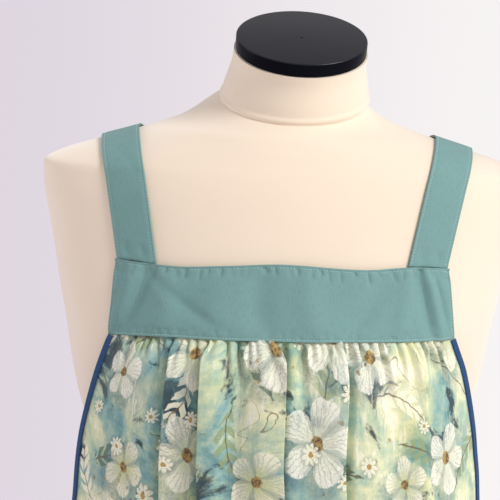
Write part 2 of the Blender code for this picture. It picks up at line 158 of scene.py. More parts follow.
def smooth(value):
    value = min(1.0, max(0.0, value))
    return value * value * (3.0 - 2.0 * value)


def slopeAt(before, here, after, column):
    # flat at a peak, and never past its neighbours
    down = (here[column] - before[column]) / max(here[0] - before[0], 1e-9)
    up = (after[column] - here[column]) / max(after[0] - here[0], 1e-9)
    if here[0] == before[0]:
        return up
    if after[0] == here[0]:
        return down
    if down * up <= 0:
        return 0.0
    return 2 * down * up / (down + up)


def between(table, place):
    # the row at this place in the first column, on a smooth curve through the table's rows
    if place <= table[0][0]:
        return type(table[0])(place, *table[0][1:])
    if place >= table[-1][0]:
        return type(table[0])(place, *table[-1][1:])
    upper = next(index for index, row in enumerate(table) if row[0] > place)
    low, high = table[upper - 1], table[upper]
    before = table[max(upper - 2, 0)]
    after = table[min(upper + 1, len(table) - 1)]
    span = high[0] - low[0]
    t = (place - low[0]) / span
    values = [place]
    for column in range(1, len(low)):
        values.append(
            (2 * t**3 - 3 * t**2 + 1) * low[column]
            + (t**3 - 2 * t**2 + t) * slopeAt(before, low, high, column) * span
            + (3 * t**2 - 2 * t**3) * high[column]
            + (t**3 - t**2) * slopeAt(low, high, after, column) * span
        )
    return type(low)(*values)


def depthTowards(section, angle, facing):
    return section.front if math.cos(angle) * facing > 0 else section.back


def ringPoint(section, angle, facing=1):
    y = -facing * depthTowards(section, angle, facing) * math.cos(angle)
    rise = section.lean * (y if y < 0 else form["backLean"] * y)
    return Vector((section.halfWidth * math.sin(angle), y, section.z + rise))


def ringOutward(section, angle, facing=1):
    depth = depthTowards(section, angle, facing)
    outward = Vector((
        math.sin(angle) * depth, -facing * math.cos(angle) * section.halfWidth, 0.0
    ))
    return outward.normalized()


def spaced(stops):
    # places along a line from (place, steps up to it) pairs
    places = [stops[0][0]]
    for (start, _), (end, steps) in zip(stops, stops[1:]):
        places += [start + (end - start) * (step + 1) / steps for step in range(steps)]
    return places


def clothGrid(across, up, place):
    # a grid moved to place(across, up), which gives each point and its place on the flat cloth
    built = bmesh.new()
    columns, rows = len(across) - 1, len(up) - 1
    bmesh.ops.create_grid(built, x_segments=columns, y_segments=rows, size=0.5)
    flat = built.loops.layers.uv.new("flat")
    flatPlaces = {}
    for point in built.verts:
        column = round((point.co.x + 0.5) * columns)
        row = round((point.co.y + 0.5) * rows)
        point.co, flatPlaces[point] = place(across[column], up[row])
    for face in built.faces:
        for corner in face.loops:
            corner[flat].uv = flatPlaces[corner.vert]
    return built


def meshFrom(name, built):
    mesh = bpy.data.meshes.new(name)
    built.to_mesh(mesh)
    built.free()
    return mesh


def addObject(name, data):
    added = bpy.data.objects.new(name, data)
    bpy.context.scene.collection.objects.link(added)
    return added


# A piece is shaded sharp where its faces meet at more than this, in degrees.
sharpFrom = {"plain": 50, "hard": 35, "sewn": 60, "gathered": 70}


def shadeMesh(mesh, kind):
    mesh.shade_smooth()
    mesh.set_sharp_from_angle(angle=math.radians(sharpFrom[kind]))


def addPiece(name, built, finish, nodes=(), kind="plain"):
    mesh = meshFrom(name, built)
    mesh.materials.append(finish)
    shadeMesh(mesh, kind)
    piece = addObject(name, mesh)
    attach(piece, "root")
    if nodes:
        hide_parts(*nodes)
    return piece


def addCloth(piece, thickness, rounding=0.0):
    wall = piece.modifiers.new("Cloth", "SOLIDIFY")
    wall.thickness = thickness
    wall.offset = 0.0
    if rounding:
        edge = piece.modifiers.new("Turned edge", "BEVEL")
        edge.width = rounding
        edge.segments = 2
        edge.limit_method = "ANGLE"
        edge.angle_limit = math.radians(60)


def closeTube(built):
    # joins a grid's first and last column, and closes its two ends
    bmesh.ops.remove_doubles(built, verts=built.verts, dist=1e-6)
    openEdges = [edge for edge in built.edges if edge.is_boundary]
    bmesh.ops.holes_fill(built, edges=openEdges, sides=0)
    bmesh.ops.recalc_face_normals(built, faces=built.faces)


def onFace(point, outward, thickness):
    # from the middle of a cloth's wall to its outer face
    return point + outward * (thickness / 2), outward


# Materials

class Socket:
    # an output of a shader node, which sums and products can be written with
    def __init__(self, finish, link):
        self.finish = finish
        self.link = link

    def maths(self, operation, first, second):
        return self.finish.maths(operation, first, second)

    def __add__(self, other):
        return self.maths("ADD", self, other)

    def __radd__(self, other):
        return self.maths("ADD", other, self)

    def __sub__(self, other):
        return self.maths("SUBTRACT", self, other)

    def __rsub__(self, other):
        return self.maths("SUBTRACT", other, self)

    def __mul__(self, other):
        return self.maths("MULTIPLY", self, other)

    def __truediv__(self, other):
        return self.maths("DIVIDE", self, other)

    def __pow__(self, other):
        return self.maths("POWER", self, other)

    def __abs__(self):
        return self.maths("ABSOLUTE", self, 0.0)


class Finish:
    # a material, whose shader nodes are all made by node()
    def __init__(self, name, **constants):
        self.material = bpy.data.materials.new(name)
        self.material.use_nodes = True
        self.tree = self.material.node_tree
        self.shader = self.tree.nodes["Principled BSDF"]
        for socket, value in constants.items():
            self.shader.inputs[socket.replace("_", " ")].default_value = value

    def node(self, kind, settings, inputs, output=0):
        made = self.tree.nodes.new(kind)
        for setting, value in settings.items():
            if setting == "stops":
                self.setStops(made.color_ramp, value)
            else:
                setattr(made, setting, value)
        for socket, value in inputs.items():
            if isinstance(value, Socket):
                self.tree.links.new(value.link, made.inputs[socket])
            else:
                made.inputs[socket].default_value = value
        return Socket(self, made.outputs[output])

    def setStops(self, ramp, stops):
        while len(ramp.elements) < len(stops):
            ramp.elements.new(0.5)
        for element, (place, colour) in zip(ramp.elements, stops):
            element.position = place
            element.color = colour

    def feed(self, socket, value):
        self.tree.links.new(value.link, self.shader.inputs[socket])

    def flat(self):
        return self.node("ShaderNodeUVMap", {"uv_map": "flat"}, {})

    def onObject(self):
        return self.node("ShaderNodeTexCoord", {}, {}, "Object")

    def moved(self, vector, shift=(0, 0, 0), stretch=(1, 1, 1), turn=0.0):
        return self.node("ShaderNodeMapping", {}, {
            "Vector": vector, "Location": shift, "Rotation": (0, 0, turn), "Scale": stretch,
        })

    def noise(self, vector, scale, detail=2.0, roughness=0.5, distortion=0.0, output="Fac"):
        return self.node("ShaderNodeTexNoise", {}, {
            "Vector": vector, "Scale": scale, "Detail": detail, "Roughness": roughness,
            "Distortion": distortion,
        }, output)

    def parts(self, vector):
        return [
            self.node("ShaderNodeSeparateXYZ", {}, {0: vector}, axis) for axis in "XYZ"
        ]

    def maths(self, operation, first, second=0.0):
        return self.node("ShaderNodeMath", {"operation": operation}, {0: first, 1: second})

    def vectorMaths(self, operation, first, second):
        return self.node(
            "ShaderNodeVectorMath", {"operation": operation}, {0: first, 1: second}
        )

    def length(self, vector):
        return self.node("ShaderNodeVectorMath", {"operation": "LENGTH"}, {0: vector}, "Value")

    def mix(self, share, first, second, blend="MIX"):
        return self.node(
            "ShaderNodeMix", {"data_type": "RGBA", "blend_type": blend},
            {0: share, 6: first, 7: second}, 2,
        )

    def ramp(self, value, stops):
        return self.node("ShaderNodeValToRGB", {"stops": stops}, {0: value}, "Color")

    def step(self, value, low, high):
        # 0 below low and 1 above high, smooth between
        return self.node(
            "ShaderNodeMapRange", {"interpolation_type": "SMOOTHSTEP"},
            {"Value": value, "From Min": low, "From Max": high},
        )

    def bump(self, height, strength, distance):
        inputs = {"Height": height, "Strength": strength, "Distance": distance}
        return self.node("ShaderNodeBump", {}, inputs, "Normal")


def paint(red, green, blue):
    # a colour from the usual 0 to 255 numbers, as the linear light that Blender mixes
    return (*(
        (part / 255 / 12.92) if part <= 10 else ((part / 255 + 0.055) / 1.055) ** 2.4
        for part in (red, green, blue)
    ), 1.0)


weave = {"thread": 0.00042, "strength": 0.35, "height": 0.00012}


def weaveHeight(finish, flat):
    # threads that cross over and under, with slubs
    across, up, _ = finish.parts(flat)
    turns = 2 * math.pi / weave["thread"]
    warp, weft = finish.maths("SINE", across * turns), finish.maths("SINE", up * turns)
    slubs = finish.noise(finish.moved(flat, stretch=(1, 0.12, 1)), 900.0, 2.0, 0.6)
    return warp * weft * 0.3 + slubs


teal = {
    "colour": paint(112, 150, 147),
    "worn": paint(124, 161, 157),
    "deep": paint(94, 132, 131),
    "fibreLength": 0.10,
}


def tealCotton():
    finish = Finish("tealCotton", Roughness=0.86, Sheen_Weight=0.06, Sheen_Roughness=0.45)
    flat = finish.flat()
    fibre = finish.noise(finish.moved(flat, stretch=(1, teal["fibreLength"], 1)), 1500.0, 3.0, 0.65)
    crossFibre = finish.noise(finish.moved(flat, stretch=(0.1, 1, 1)), 1100.0, 2.0, 0.6)
    cloud = finish.noise(flat, 28.0, 3.0, 0.6)
    colour = finish.mix(cloud * 0.5, teal["colour"], teal["worn"])
    colour = finish.mix(finish.step(fibre, 0.46, 0.72) * 0.55, colour, teal["deep"])
    colour = finish.mix(finish.step(crossFibre, 0.56, 0.80) * 0.45, colour, teal["worn"])
    finish.feed("Base Color", colour)
    height = weaveHeight(finish, flat) + fibre * 0.6
    finish.feed("Normal", finish.bump(height, weave["strength"], weave["height"]))
    return finish.material


def threadFinish(name, colour):
    finish = Finish(name, Roughness=0.6, Sheen_Weight=0.3)
    twist = finish.noise(finish.onObject(), 2600.0, 2.0, 0.6)
    finish.feed("Base Color", finish.mix(twist * 0.3, colour, paint(214, 226, 214)))
    finish.feed("Normal", finish.bump(twist, 0.3, 0.0001))
    return finish.material


def navyBias():
    finish = Finish("navyBias", Roughness=0.82, Sheen_Weight=0.12, Sheen_Roughness=0.4)
    flat = finish.flat()
    onBias = finish.moved(flat, turn=math.radians(45))
    fibre = finish.noise(finish.moved(onBias, stretch=(1, 0.15, 1)), 1500.0, 3.0, 0.6)
    colour = finish.mix(finish.step(fibre, 0.45, 0.8), paint(15, 61, 104), paint(32, 88, 138))
    finish.feed("Base Color", colour)
    finish.feed("Normal", finish.bump(weaveHeight(finish, onBias), 0.4, weave["height"]))
    return finish.material


def creamJersey():
    finish = Finish("creamJersey", Roughness=0.9, Sheen_Weight=0.55, Sheen_Roughness=0.6)
    place = finish.onObject()
    cloud = finish.noise(place, 9.0, 3.0, 0.55)
    knit = finish.noise(finish.moved(place, stretch=(1, 1, 0.35)), 1300.0, 2.0, 0.6)
    colour = finish.mix(cloud, paint(233, 214, 190), paint(238, 220, 197))
    colour = finish.mix(finish.step(knit, 0.55, 0.85) * 0.3, colour, paint(222, 203, 180))
    finish.feed("Base Color", colour)
    finish.feed("Normal", finish.bump(knit, 0.25, 0.0002))
    return finish.material


def blackSatin(name, shine):
    finish = Finish(name, IOR=shine)
    place = finish.onObject()
    haze = finish.noise(place, 22.0, 4.0, 0.6)
    grain = finish.noise(place, 1800.0, 2.0, 0.6)
    finish.feed("Base Color", finish.mix(haze, paint(8, 9, 16), paint(14, 15, 24)))
    finish.feed("Roughness", 0.26 + haze * 0.14)
    finish.feed("Normal", finish.bump(grain, 0.06, 0.0002))
    return finish.material


def blackPowderCoat():
    finish = Finish("blackPowderCoat", Metallic=0.0, IOR=1.5)
    place = finish.onObject()
    peel = finish.noise(place, 900.0, 2.0, 0.5)
    haze = finish.noise(place, 14.0, 3.0, 0.6)
    finish.feed("Base Color", finish.mix(haze, paint(30, 30, 32), paint(40, 40, 42)))
    finish.feed("Roughness", 0.38 + haze * 0.15)
    finish.feed("Normal", finish.bump(peel, 0.15, 0.0003))
    return finish.material


# The print: a watercolour ground with blossoms, daisies, leaf sprays, tendrils and berries.
printed = {
    "fullTurn": 6.28, "blossomEvery": 0.086, "blossomRadius": 0.033, "petals": 5,
    "shadowMoved": (0.005, 0.006, 0.0), "daisyEvery": 0.052, "daisyRadius": 0.0090, "daisyPetals": 9,
    "sprayEvery": 0.074, "sprayLength": 0.034, "leafEvery": 0.0105, "leafLength": 0.0085,
    "berryEvery": 0.0120, "berryRadius": 0.0018, "tendrilWidth": 0.0045,
    "ground": [
        (0.32, paint(44, 72, 82)), (0.385, paint(98, 140, 142)), (0.45, paint(138, 176, 170)),
        (0.51, paint(184, 202, 172)), (0.575, paint(226, 226, 182)), (0.65, paint(250, 246, 222)),
    ],
    "cream": paint(246, 241, 214), "white": paint(253, 251, 240), "ochre": paint(180, 148, 84),
    "brown": paint(104, 84, 60), "slate": paint(86, 114, 116), "ink": paint(30, 48, 62),
    "sage": paint(146, 162, 120), "moss": paint(92, 114, 84), "lime": paint(210, 212, 152),
    "blue": paint(116, 150, 158),
}


def scattered(finish, place, every, jitter, shift):
    # the nearest motif's centre, as a place about it, with three numbers drawn for it
    cells = {"voronoi_dimensions": "2D", "feature": "F1"}
    inputs = {
        "Vector": finish.vectorMaths("ADD", place, (*shift, 0.0)),
        "Scale": 1 / every, "Randomness": jitter,
    }
    drawn = finish.node("ShaderNodeTexVoronoi", cells, inputs, "Color")
    centre = finish.node("ShaderNodeTexVoronoi", cells, inputs, "Position")
    about = finish.vectorMaths("SUBTRACT", inputs["Vector"], centre)
    return about, finish.parts(drawn)


def petalMask(finish, about, turn, petals, radius, soft, waist):
    # a flower's outline, with the distance and the angle about its middle
    x, y, _ = finish.parts(about)
    reach, angle = finish.length(about), finish.maths("ARCTAN2", y, x) + turn
    lobes = abs(finish.maths("COSINE", angle * (petals / 2))) ** 0.6
    outline = (lobes * (1 - waist) + waist) * radius
    return finish.step(outline - reach, -soft, soft), reach, angle


def printedCotton():
    finish = Finish("printedCotton", Roughness=0.88, Sheen_Weight=0.12, Sheen_Roughness=0.5)
    flat = finish.flat()
    wobble = finish.noise(flat, 55.0, 3.0, 0.6, output="Color")
    wobble = finish.vectorMaths("SUBTRACT", wobble, (0.5, 0.5, 0.5))
    wobble = finish.vectorMaths("MULTIPLY", wobble, (0.009, 0.009, 0))
    place = finish.vectorMaths("ADD", flat, wobble)

    broad = finish.noise(flat, 15.0, 4.0, 0.62, 0.5)
    strokes = finish.noise(finish.moved(flat, stretch=(1, 0.4, 1), turn=0.6), 90.0, 5.0, 0.72)
    crossed = finish.noise(finish.moved(flat, stretch=(0.4, 1, 1), turn=0.5), 160.0, 4.0, 0.7)
    grain = finish.noise(flat, 480.0, 3.0, 0.75)
    wash = broad * 0.66 + strokes * 0.20 + crossed * 0.10 + grain * 0.06
    colour = finish.ramp(wash, printed["ground"])
    hue = finish.noise(finish.moved(flat, shift=(0.3, 0.7, 0)), 11.0, 3.0, 0.6)
    colour = finish.mix(finish.step(hue, 0.52, 0.68) * 0.42, colour, printed["lime"], "MULTIPLY")
    colour = finish.mix(finish.step(0.50 - hue, 0.02, 0.16) * 0.45, colour, printed["blue"])
    inky = finish.noise(finish.moved(flat, shift=(0.9, 0.2, 0)), 22.0, 4.0, 0.66, 0.6)
    dark = finish.step(inky + grain * 0.10, 0.60, 0.68)
    colour = finish.mix(dark * 0.9, colour, printed["ink"])
    bristle = finish.noise(finish.moved(place, stretch=(1, 0.14, 1), turn=0.9), 330.0, 3.0, 0.6)
    feathered = finish.step(bristle, 0.52, 0.66) * finish.step(broad, 0.46, 0.60)
    colour = finish.mix(feathered * 0.5, colour, printed["white"])

    colour = paintTendrils(finish, place, colour)
    colour = paintSprays(finish, place, colour, grain)
    colour = paintBlossoms(finish, place, colour, strokes, grain)
    colour = paintDaisies(finish, place, colour)
    colour = paintBerries(finish, place, colour)
    finish.feed("Base Color", colour)
    finish.feed("Normal", finish.bump(weaveHeight(finish, flat), weave["strength"], weave["height"]))
    return finish.material


def paintTendrils(finish, place, colour):
    # thin curling lines along the level lines of a soft field, in a few patches
    field = finish.noise(finish.moved(place, shift=(0.17, 0.61, 0)), 24.0, 1.0, 0.5, 0.8)
    line = finish.step(printed["tendrilWidth"] - abs(field - 0.47), 0.0, 0.003)
    patch = finish.noise(finish.moved(place, shift=(0.53, 0.29, 0)), 12.0, 1.0, 0.5)
    return finish.mix(line * finish.step(patch, 0.50, 0.56) * 0.7, colour, printed["brown"])


def paintBlossoms(finish, place, colour, strokes, grain):
    about, (first, second, third) = scattered(
        finish, place, printed["blossomEvery"], 0.5, (0.013, 0.031)
    )
    turn = first * printed["fullTurn"]
    petals = printed["petals"]
    size = (0.66 + second * 0.42) * printed["blossomRadius"]
    shadowPlace = finish.vectorMaths("ADD", about, printed["shadowMoved"])
    shadow, _, _ = petalMask(finish, shadowPlace, turn, petals, size * 1.14, 0.007, 0.62)
    rough = finish.step(grain + strokes * 0.6, 0.52, 0.92)
    colour = finish.mix(shadow * (0.72 - rough * 0.4), colour, printed["slate"])
    ragged = size * (0.95 + strokes * 0.12)
    mask, reach, angle = petalMask(finish, about, turn, petals, ragged, 0.0009, 0.46)
    share = reach / size
    veins = finish.noise(place, 260.0, 3.0, 0.7)
    ribs = abs(finish.maths("COSINE", angle * (petals * 3.5) + veins * 3.5))
    gaps = abs(finish.maths("COSINE", angle * (petals / 2)))
    petal = finish.mix(finish.step(share, 0.12, 0.85), printed["lime"], printed["cream"])
    petal = finish.mix(finish.step(third, 0.35, 0.65) * 0.6, petal, printed["white"])
    petal = finish.mix(finish.step(0.62 - gaps, 0.0, 0.45) * 0.45, petal, printed["slate"])
    petal = finish.mix(finish.step(strokes, 0.50, 0.66) * 0.30, petal, printed["blue"])
    petal = finish.mix(finish.step(grain, 0.50, 0.75) * 0.22, petal, printed["ochre"])
    petal = finish.mix(finish.step(ribs, 0.93, 1.0) * 0.42, petal, printed["moss"])
    brushed = finish.step(finish.noise(place, 700.0, 2.0, 0.6), 0.60, 0.72)
    colour = finish.mix(mask * (0.97 - rough * 0.30) * (1.0 - brushed * 0.22), colour, petal)
    centre = finish.step(0.17 + veins * 0.07 - share, 0.0, 0.05)
    heart = finish.mix(finish.step(veins, 0.42, 0.6), printed["brown"], printed["ochre"])
    return finish.mix(centre * mask, colour, heart)


def paintDaisies(finish, place, colour):
    about, (first, second, third) = scattered(
        finish, place, printed["daisyEvery"], 0.85, (0.207, 0.118)
    )
    size = (0.65 + second * 0.5) * printed["daisyRadius"]
    turn = first * printed["fullTurn"]
    mask, reach, _ = petalMask(finish, about, turn, printed["daisyPetals"], size, 0.0004, 0.34)
    shown = finish.step(third, 0.46, 0.50)
    glow = finish.step(size * 1.35 - reach, 0.0, 0.004) * 0.35
    colour = finish.mix(glow * shown, colour, printed["slate"])
    rays = finish.step(finish.noise(place, 620.0, 2.0, 0.6), 0.36, 0.56)
    colour = finish.mix(mask * shown * (0.45 + rays * 0.45), colour, printed["cream"])
    heart = finish.step(size * 0.27 - reach, -0.0003, 0.0003)
    return finish.mix(heart * shown, colour, printed["ochre"])


def paintSprays(finish, place, colour, grain):
    about, (first, second, third) = scattered(
        finish, place, printed["sprayEvery"], 0.7, (0.411, 0.052)
    )
    turned = finish.node(
        "ShaderNodeVectorRotate", {"rotation_type": "Z_AXIS"},
        {"Vector": about, "Angle": first * printed["fullTurn"]},
    )
    x, y, _ = finish.parts(turned)
    bent = x + y * y * (second * 26.0 - 13.0)
    aside = abs(bent)
    along = y - aside * 0.9
    number = along / printed["leafEvery"]
    inLeaf = finish.maths("PINGPONG", number, 0.5) * 2.0
    length = printed["sprayLength"]
    taper = finish.step(length - abs(y), 0.0, length * 0.7)
    leaf = finish.step(inLeaf - 0.28, 0.0, 0.14)
    leaf = leaf * finish.step(taper * printed["leafLength"] - aside, -0.0004, 0.0006)
    stem = finish.step(0.0006 - aside, -0.0003, 0.0003)
    within = finish.step(length - abs(y), 0.0, 0.002)
    tone = finish.mix(finish.step(second, 0.3, 0.6), printed["cream"], printed["sage"])
    tone = finish.mix(finish.step(third, 0.55, 0.7), tone, printed["moss"])
    dark = finish.step(grain, 0.5, 0.7) * 0.3
    colour = finish.mix(leaf * within * (0.85 - dark), colour, tone)
    return finish.mix(stem * within * 0.8, colour, printed["brown"])


def paintBerries(finish, place, colour):
    about, (_, second, third) = scattered(
        finish, place, printed["berryEvery"], 0.9, (0.633, 0.333)
    )
    clusters = finish.step(finish.noise(place, 21.0, 1.0, 0.4), 0.62, 0.66) * 0.7
    size = (0.5 + second * 0.5) * printed["berryRadius"]
    mask = finish.step(size - finish.length(about), -0.0003, 0.0003) * clusters
    tone = finish.mix(third, printed["ochre"], printed["brown"])
    return finish.mix(mask, colour, tone)


print("materials")
tealCloth = tealCotton()
tealThread = threadFinish("tealThread", paint(156, 190, 182))
printCloth = printedCotton()
printThread = threadFinish("printThread", paint(176, 190, 170))
navyCloth = navyBias()
jersey = creamJersey()
capFinish = blackSatin("blackSatin", 1.40)
# a less reflective copy of the satin, for the cap's side: painted shade
capSideShadedFinish = blackSatin("blackSatinShadedSide", 1.10)
standFinish = blackPowderCoat()


# Stitches

stitch = {"every": 0.0027, "length": 0.0020, "width": 0.00055, "height": 0.00030}


def addStitches(name, runs, finish):
    # each run is a list of (point, outward) along the cloth's face
    built = bmesh.new()
    for run in runs:
        wait = stitch["every"] / 2
        for (start, outward), (end, _) in zip(run, run[1:]):
            along = end - start
            reach = along.length
            if reach < 1e-7:
                continue
            along.normalize()
            side = outward.cross(along).normalized()
            up = along.cross(side).normalized()
            turn = Matrix((along, side, up)).transposed().to_4x4()
            size = Matrix.Diagonal((stitch["length"] / 2, stitch["width"] / 2, stitch["height"], 1))
            while wait < reach:
                place = Matrix.Translation(start + along * wait)
                bmesh.ops.create_uvsphere(
                    built, u_segments=6, v_segments=4, radius=1.0, matrix=place @ turn @ size
                )
                wait += stitch["every"]
            wait -= reach
    return addPiece(name, built, finish)


# The form and its stand

neck = {
    "radius": 0.062, "topRadius": 0.0562, "length": 0.0407, "bead": 0.0017, "beadHalf": 0.0047,
    "flareRows": 16, "beadRows": 18, "rows": 14,
    "flare": 0.0230, "flareOut": 0.0185, "flareRound": 0.98, "narrowsOver": 0.034,
    "lean": math.radians(17.6), "capLean": math.radians(21.6), "capSideLean": math.radians(1.8),
    "base": Vector((0.0070, -0.004, 1.4035)), "paintedLightTowardsRight": 0.09,
    "blendDown": 0.022, "blendOut": 0.088, "blendFromBead": 0.55, "blendSteps": 14,
}


def neckTilt(share):
    lean = neck["lean"] + share * (neck["capLean"] - neck["lean"])
    return Matrix.Rotation(share * neck["capSideLean"], 3, "Y") @ Matrix.Rotation(lean, 3, "X")


def neckCentre(rise):
    lean = (neck["lean"] + neck["capLean"]) / 2
    return neck["base"] + rise * Vector((neck["paintedLightTowardsRight"], -math.sin(lean), math.cos(lean)))


def torsoHeights():
    steps = round((form["crest"] - form["bottom"]) / form["rowEvery"])
    heights = spaced([(form["bottom"], 0), (form["crest"], steps)])
    crown = [row.z for row in torsoSections if row.z >= form["crest"]]
    for low, high in zip(crown, crown[1:]):
        heights += spaced([(low, 0), (high, form["rowsInCrown"])])[1:]
    return heights


def neckProfile():
    # (rise, radius, flare) up the neck: it flares into the chest at the front, with a corded
    # seam at its base
    radius, half, top = neck["radius"], neck["beadHalf"], neck["topRadius"]
    profile = []
    stops = [
        (-neck["flare"], 0), (-half, neck["flareRows"]), (half, neck["beadRows"]),
        (neck["length"], neck["rows"]),
    ]
    for rise in spaced(stops):
        share = min(1.0, max(0.0, -rise) / neck["flare"])
        flare = neck["flareOut"] * (1 - math.sqrt(1 - share * share * neck["flareRound"]))
        reach = top + (radius - top) * (1 - smooth(rise / neck["narrowsOver"]))
        if abs(rise) < half:
            reach += neck["bead"] * (1 + math.cos(math.pi * rise / half)) / 2
        profile.append((rise, reach, flare))
    return profile


def joinNeck(body, collar):
    cutter = addObject("neck", meshFrom("neck", collar))
    join = body.modifiers.new("Neck", "BOOLEAN")
    join.operation = "UNION"
    join.object = cutter
    bpy.context.view_layer.objects.active = body
    bpy.ops.object.modifier_apply(modifier=join.name)
    bpy.data.objects.remove(cutter)


def blendNeck(body):
    # the jersey runs smoothly from the chest into the neck's seam
    built = bmesh.new()
    built.from_mesh(body.data)
    axis = neckTilt(0.0) @ Vector((0.0, 0.0, 1.0))
    highest = -neck["beadHalf"] * neck["blendFromBead"]
    nearSeam = []
    for point in built.verts:
        along = (point.co - neck["base"]).dot(axis)
        aside = (point.co - neck["base"] - axis * along).length
        if -neck["blendDown"] < along < highest and aside < neck["blendOut"]:
            nearSeam.append(point)
    for _ in range(neck["blendSteps"]):
        bmesh.ops.smooth_vert(
            built, verts=nearSeam, factor=0.5, use_axis_x=True, use_axis_y=True, use_axis_z=True
        )
    built.to_mesh(body.data)
    built.free()


def makeForm():
    angles = [2 * math.pi * side / form["sides"] for side in range(form["sides"] + 1)]

    def torsoPlace(angle, z):
        return ringPoint(between(torsoSections, z), angle), (angle, z)

    torso = clothGrid(angles, torsoHeights(), torsoPlace)
    closeTube(torso)
    body = addPiece("form_body", torso, jersey, ["form_torso"])

    profile = neckProfile()

    def neckPlace(angle, step):
        rise, radius, flare = profile[step]
        radius += flare * (1 + math.cos(angle)) / 2
        tilt = neckTilt(min(1.0, max(0.0, rise / neck["length"])))
        around = Vector((radius * math.sin(angle), -radius * math.cos(angle), 0.0))
        return neckCentre(rise) + tilt @ around, (angle, rise)

    collar = clothGrid(angles, list(range(len(profile))), neckPlace)
    closeTube(collar)
    joinNeck(body, collar)
    blendNeck(body)
    shadeMesh(body.data, "plain")


cap = {
    "radius": 0.0550, "thickness": 0.0117, "rounding": 0.0011, "sides": 128,
    "plug": 0.0016, "plugHeight": 0.35,
}


def makeCap():
    built = bmesh.new()
    half = cap["thickness"] / 2
    bmesh.ops.create_cone(
        built, cap_ends=True, segments=cap["sides"], radius1=cap["radius"], radius2=cap["radius"],
        depth=cap["thickness"],
    )
    rims = [edge for edge in built.edges if abs(edge.verts[0].co.z - edge.verts[1].co.z) < 1e-6]
    bmesh.ops.bevel(
        built, geom=rims, offset=cap["rounding"], segments=4, profile=0.5, affect="EDGES", material=-1
    )
    # a small plug at the middle of the top
    bmesh.ops.create_uvsphere(
        built, u_segments=20, v_segments=10, radius=cap["plug"],
        matrix=Matrix.Translation((0, 0, half)) @ Matrix.Diagonal((1, 1, cap["plugHeight"], 1)),
    )
    tilt = neckTilt(1.0)
    lift = tilt @ Vector((0.0, 0.0, half + garment["seamGap"]))
    place = Matrix.Translation(neckCentre(neck["length"]) + lift) @ tilt.to_4x4()
    # painted shade: the cap's side gets a less reflective copy of the satin, so it renders darker
    # than its top
    for face in built.faces:
        face.material_index = 1 if abs(face.normal.z) < 0.5 else 0
    bmesh.ops.transform(built, matrix=place, verts=built.verts)
    piece = addPiece("cap", built, capFinish, ["neck_cap"], "hard")
    piece.data.materials.append(capSideShadedFinish)


stand = {
    "baseRadius": 0.190, "baseThickness": 0.016, "baseFoot": 0.003, "baseRim": 0.005,
    "centreRadius": 0.036, "centreRise": 0.0002, "poleRadius": 0.016,
    "collarRadius": 0.030, "collarTop": 0.055, "collarSpread": 0.002, "collarFoot": 0.0008,
    "collarRim": 0.004, "baseSides": 128, "collarSides": 96, "poleSides": 64, "cornerSteps": 6,
}


def roundedCorner(radius, height, rounding, outward):
    # points round a corner of a turned profile; outward is 1 at the top and -1 at the bottom
    steps = stand["cornerSteps"]
    centre = (radius - rounding, height - outward * rounding)
    turns = [math.pi / 2 * step / steps for step in range(steps + 1)]
    corner = [
        (centre[0] + rounding * math.cos(turn), centre[1] + outward * rounding * math.sin(turn))
        for turn in turns
    ]
    return corner if outward > 0 else corner[::-1]


def makeTurned(name, profile, node, sides):
    # a profile from the axis out and back to the axis, turned round the pole
    built = bmesh.new()
    points = [built.verts.new((radius, 0.0, height)) for radius, height in profile]
    edges = [built.edges.new(pair) for pair in zip(points, points[1:])]
    bmesh.ops.spin(
        built, geom=points + edges, cent=(0, 0, 0), axis=(0, 0, 1), angle=2 * math.pi,
        steps=sides, use_merge=True,
    )
    closeTube(built)
    addPiece(name, built, standFinish, [node], "hard")


def makeStand():
    gap = garment["seamGap"]
    onBase, top = stand["baseThickness"] + gap, stand["collarTop"]
    centre = stand["baseThickness"] + stand["centreRise"]
    makeTurned("base", (
        [(0.0, 0.0)] + roundedCorner(stand["baseRadius"], 0.0, stand["baseFoot"], -1)
        + roundedCorner(stand["baseRadius"], stand["baseThickness"], stand["baseRim"], 1)
        + [(stand["centreRadius"], centre), (0.0, centre)]
    ), "stand_base", stand["baseSides"])
    wide = stand["collarRadius"] + stand["collarSpread"]
    makeTurned("collar", (
        [(0.0, onBase)] + roundedCorner(wide, onBase, stand["collarFoot"], -1)
        + roundedCorner(stand["collarRadius"], top, stand["collarRim"], 1) + [(0.0, top)]
    ), "stand_collar", stand["collarSides"])
    makeTurned("pole", (
        [(0.0, top + gap), (stand["poleRadius"], top + gap)]
        + [(stand["poleRadius"], form["bottom"] - gap), (0.0, form["bottom"] - gap)]
    ), "stand_pole", stand["poleSides"])


print("form and stand")
makeForm()
makeCap()
makeStand()


# The yokes

yoke = {
    "columns": [(-1.0, 0), (-0.965, 10), (0.965, 230), (1.0, 10)],
    "rows": [(0.0, 0), (0.006, 12), (0.059, 42), (0.065, 12)],
    "stitchIn": 0.0024, "bottomStitchIn": 0.0020, "grooveDepth": 0.00035, "grooveWidth": 0.0009,
    "puckerEvery": 0.0076, "puckerDepth": 0.0013, "puckerWidth": 0.0018, "rounding": 0.0006,
    "offForm": 0.0042, "raisedFrom": 0.14, "flatWidth": 0.300, "halfWidth": 0.140,
    "puckersWithin": 0.134, "topPuckersAt": 0.0626, "topPuckerLength": 0.0085,
    "bottomPuckersAt": 0.0020, "bottomPuckerLength": 0.0060, "bottomPuckerShare": 0.5,
    "acrossStitches": 180, "upStitches": 40,
}
# How far a crease runs past its ends, as a share of its length, and how far to its sides, in
# its widths.
creaseReach = {"pastEnds": 0.25, "widths": 2.6}

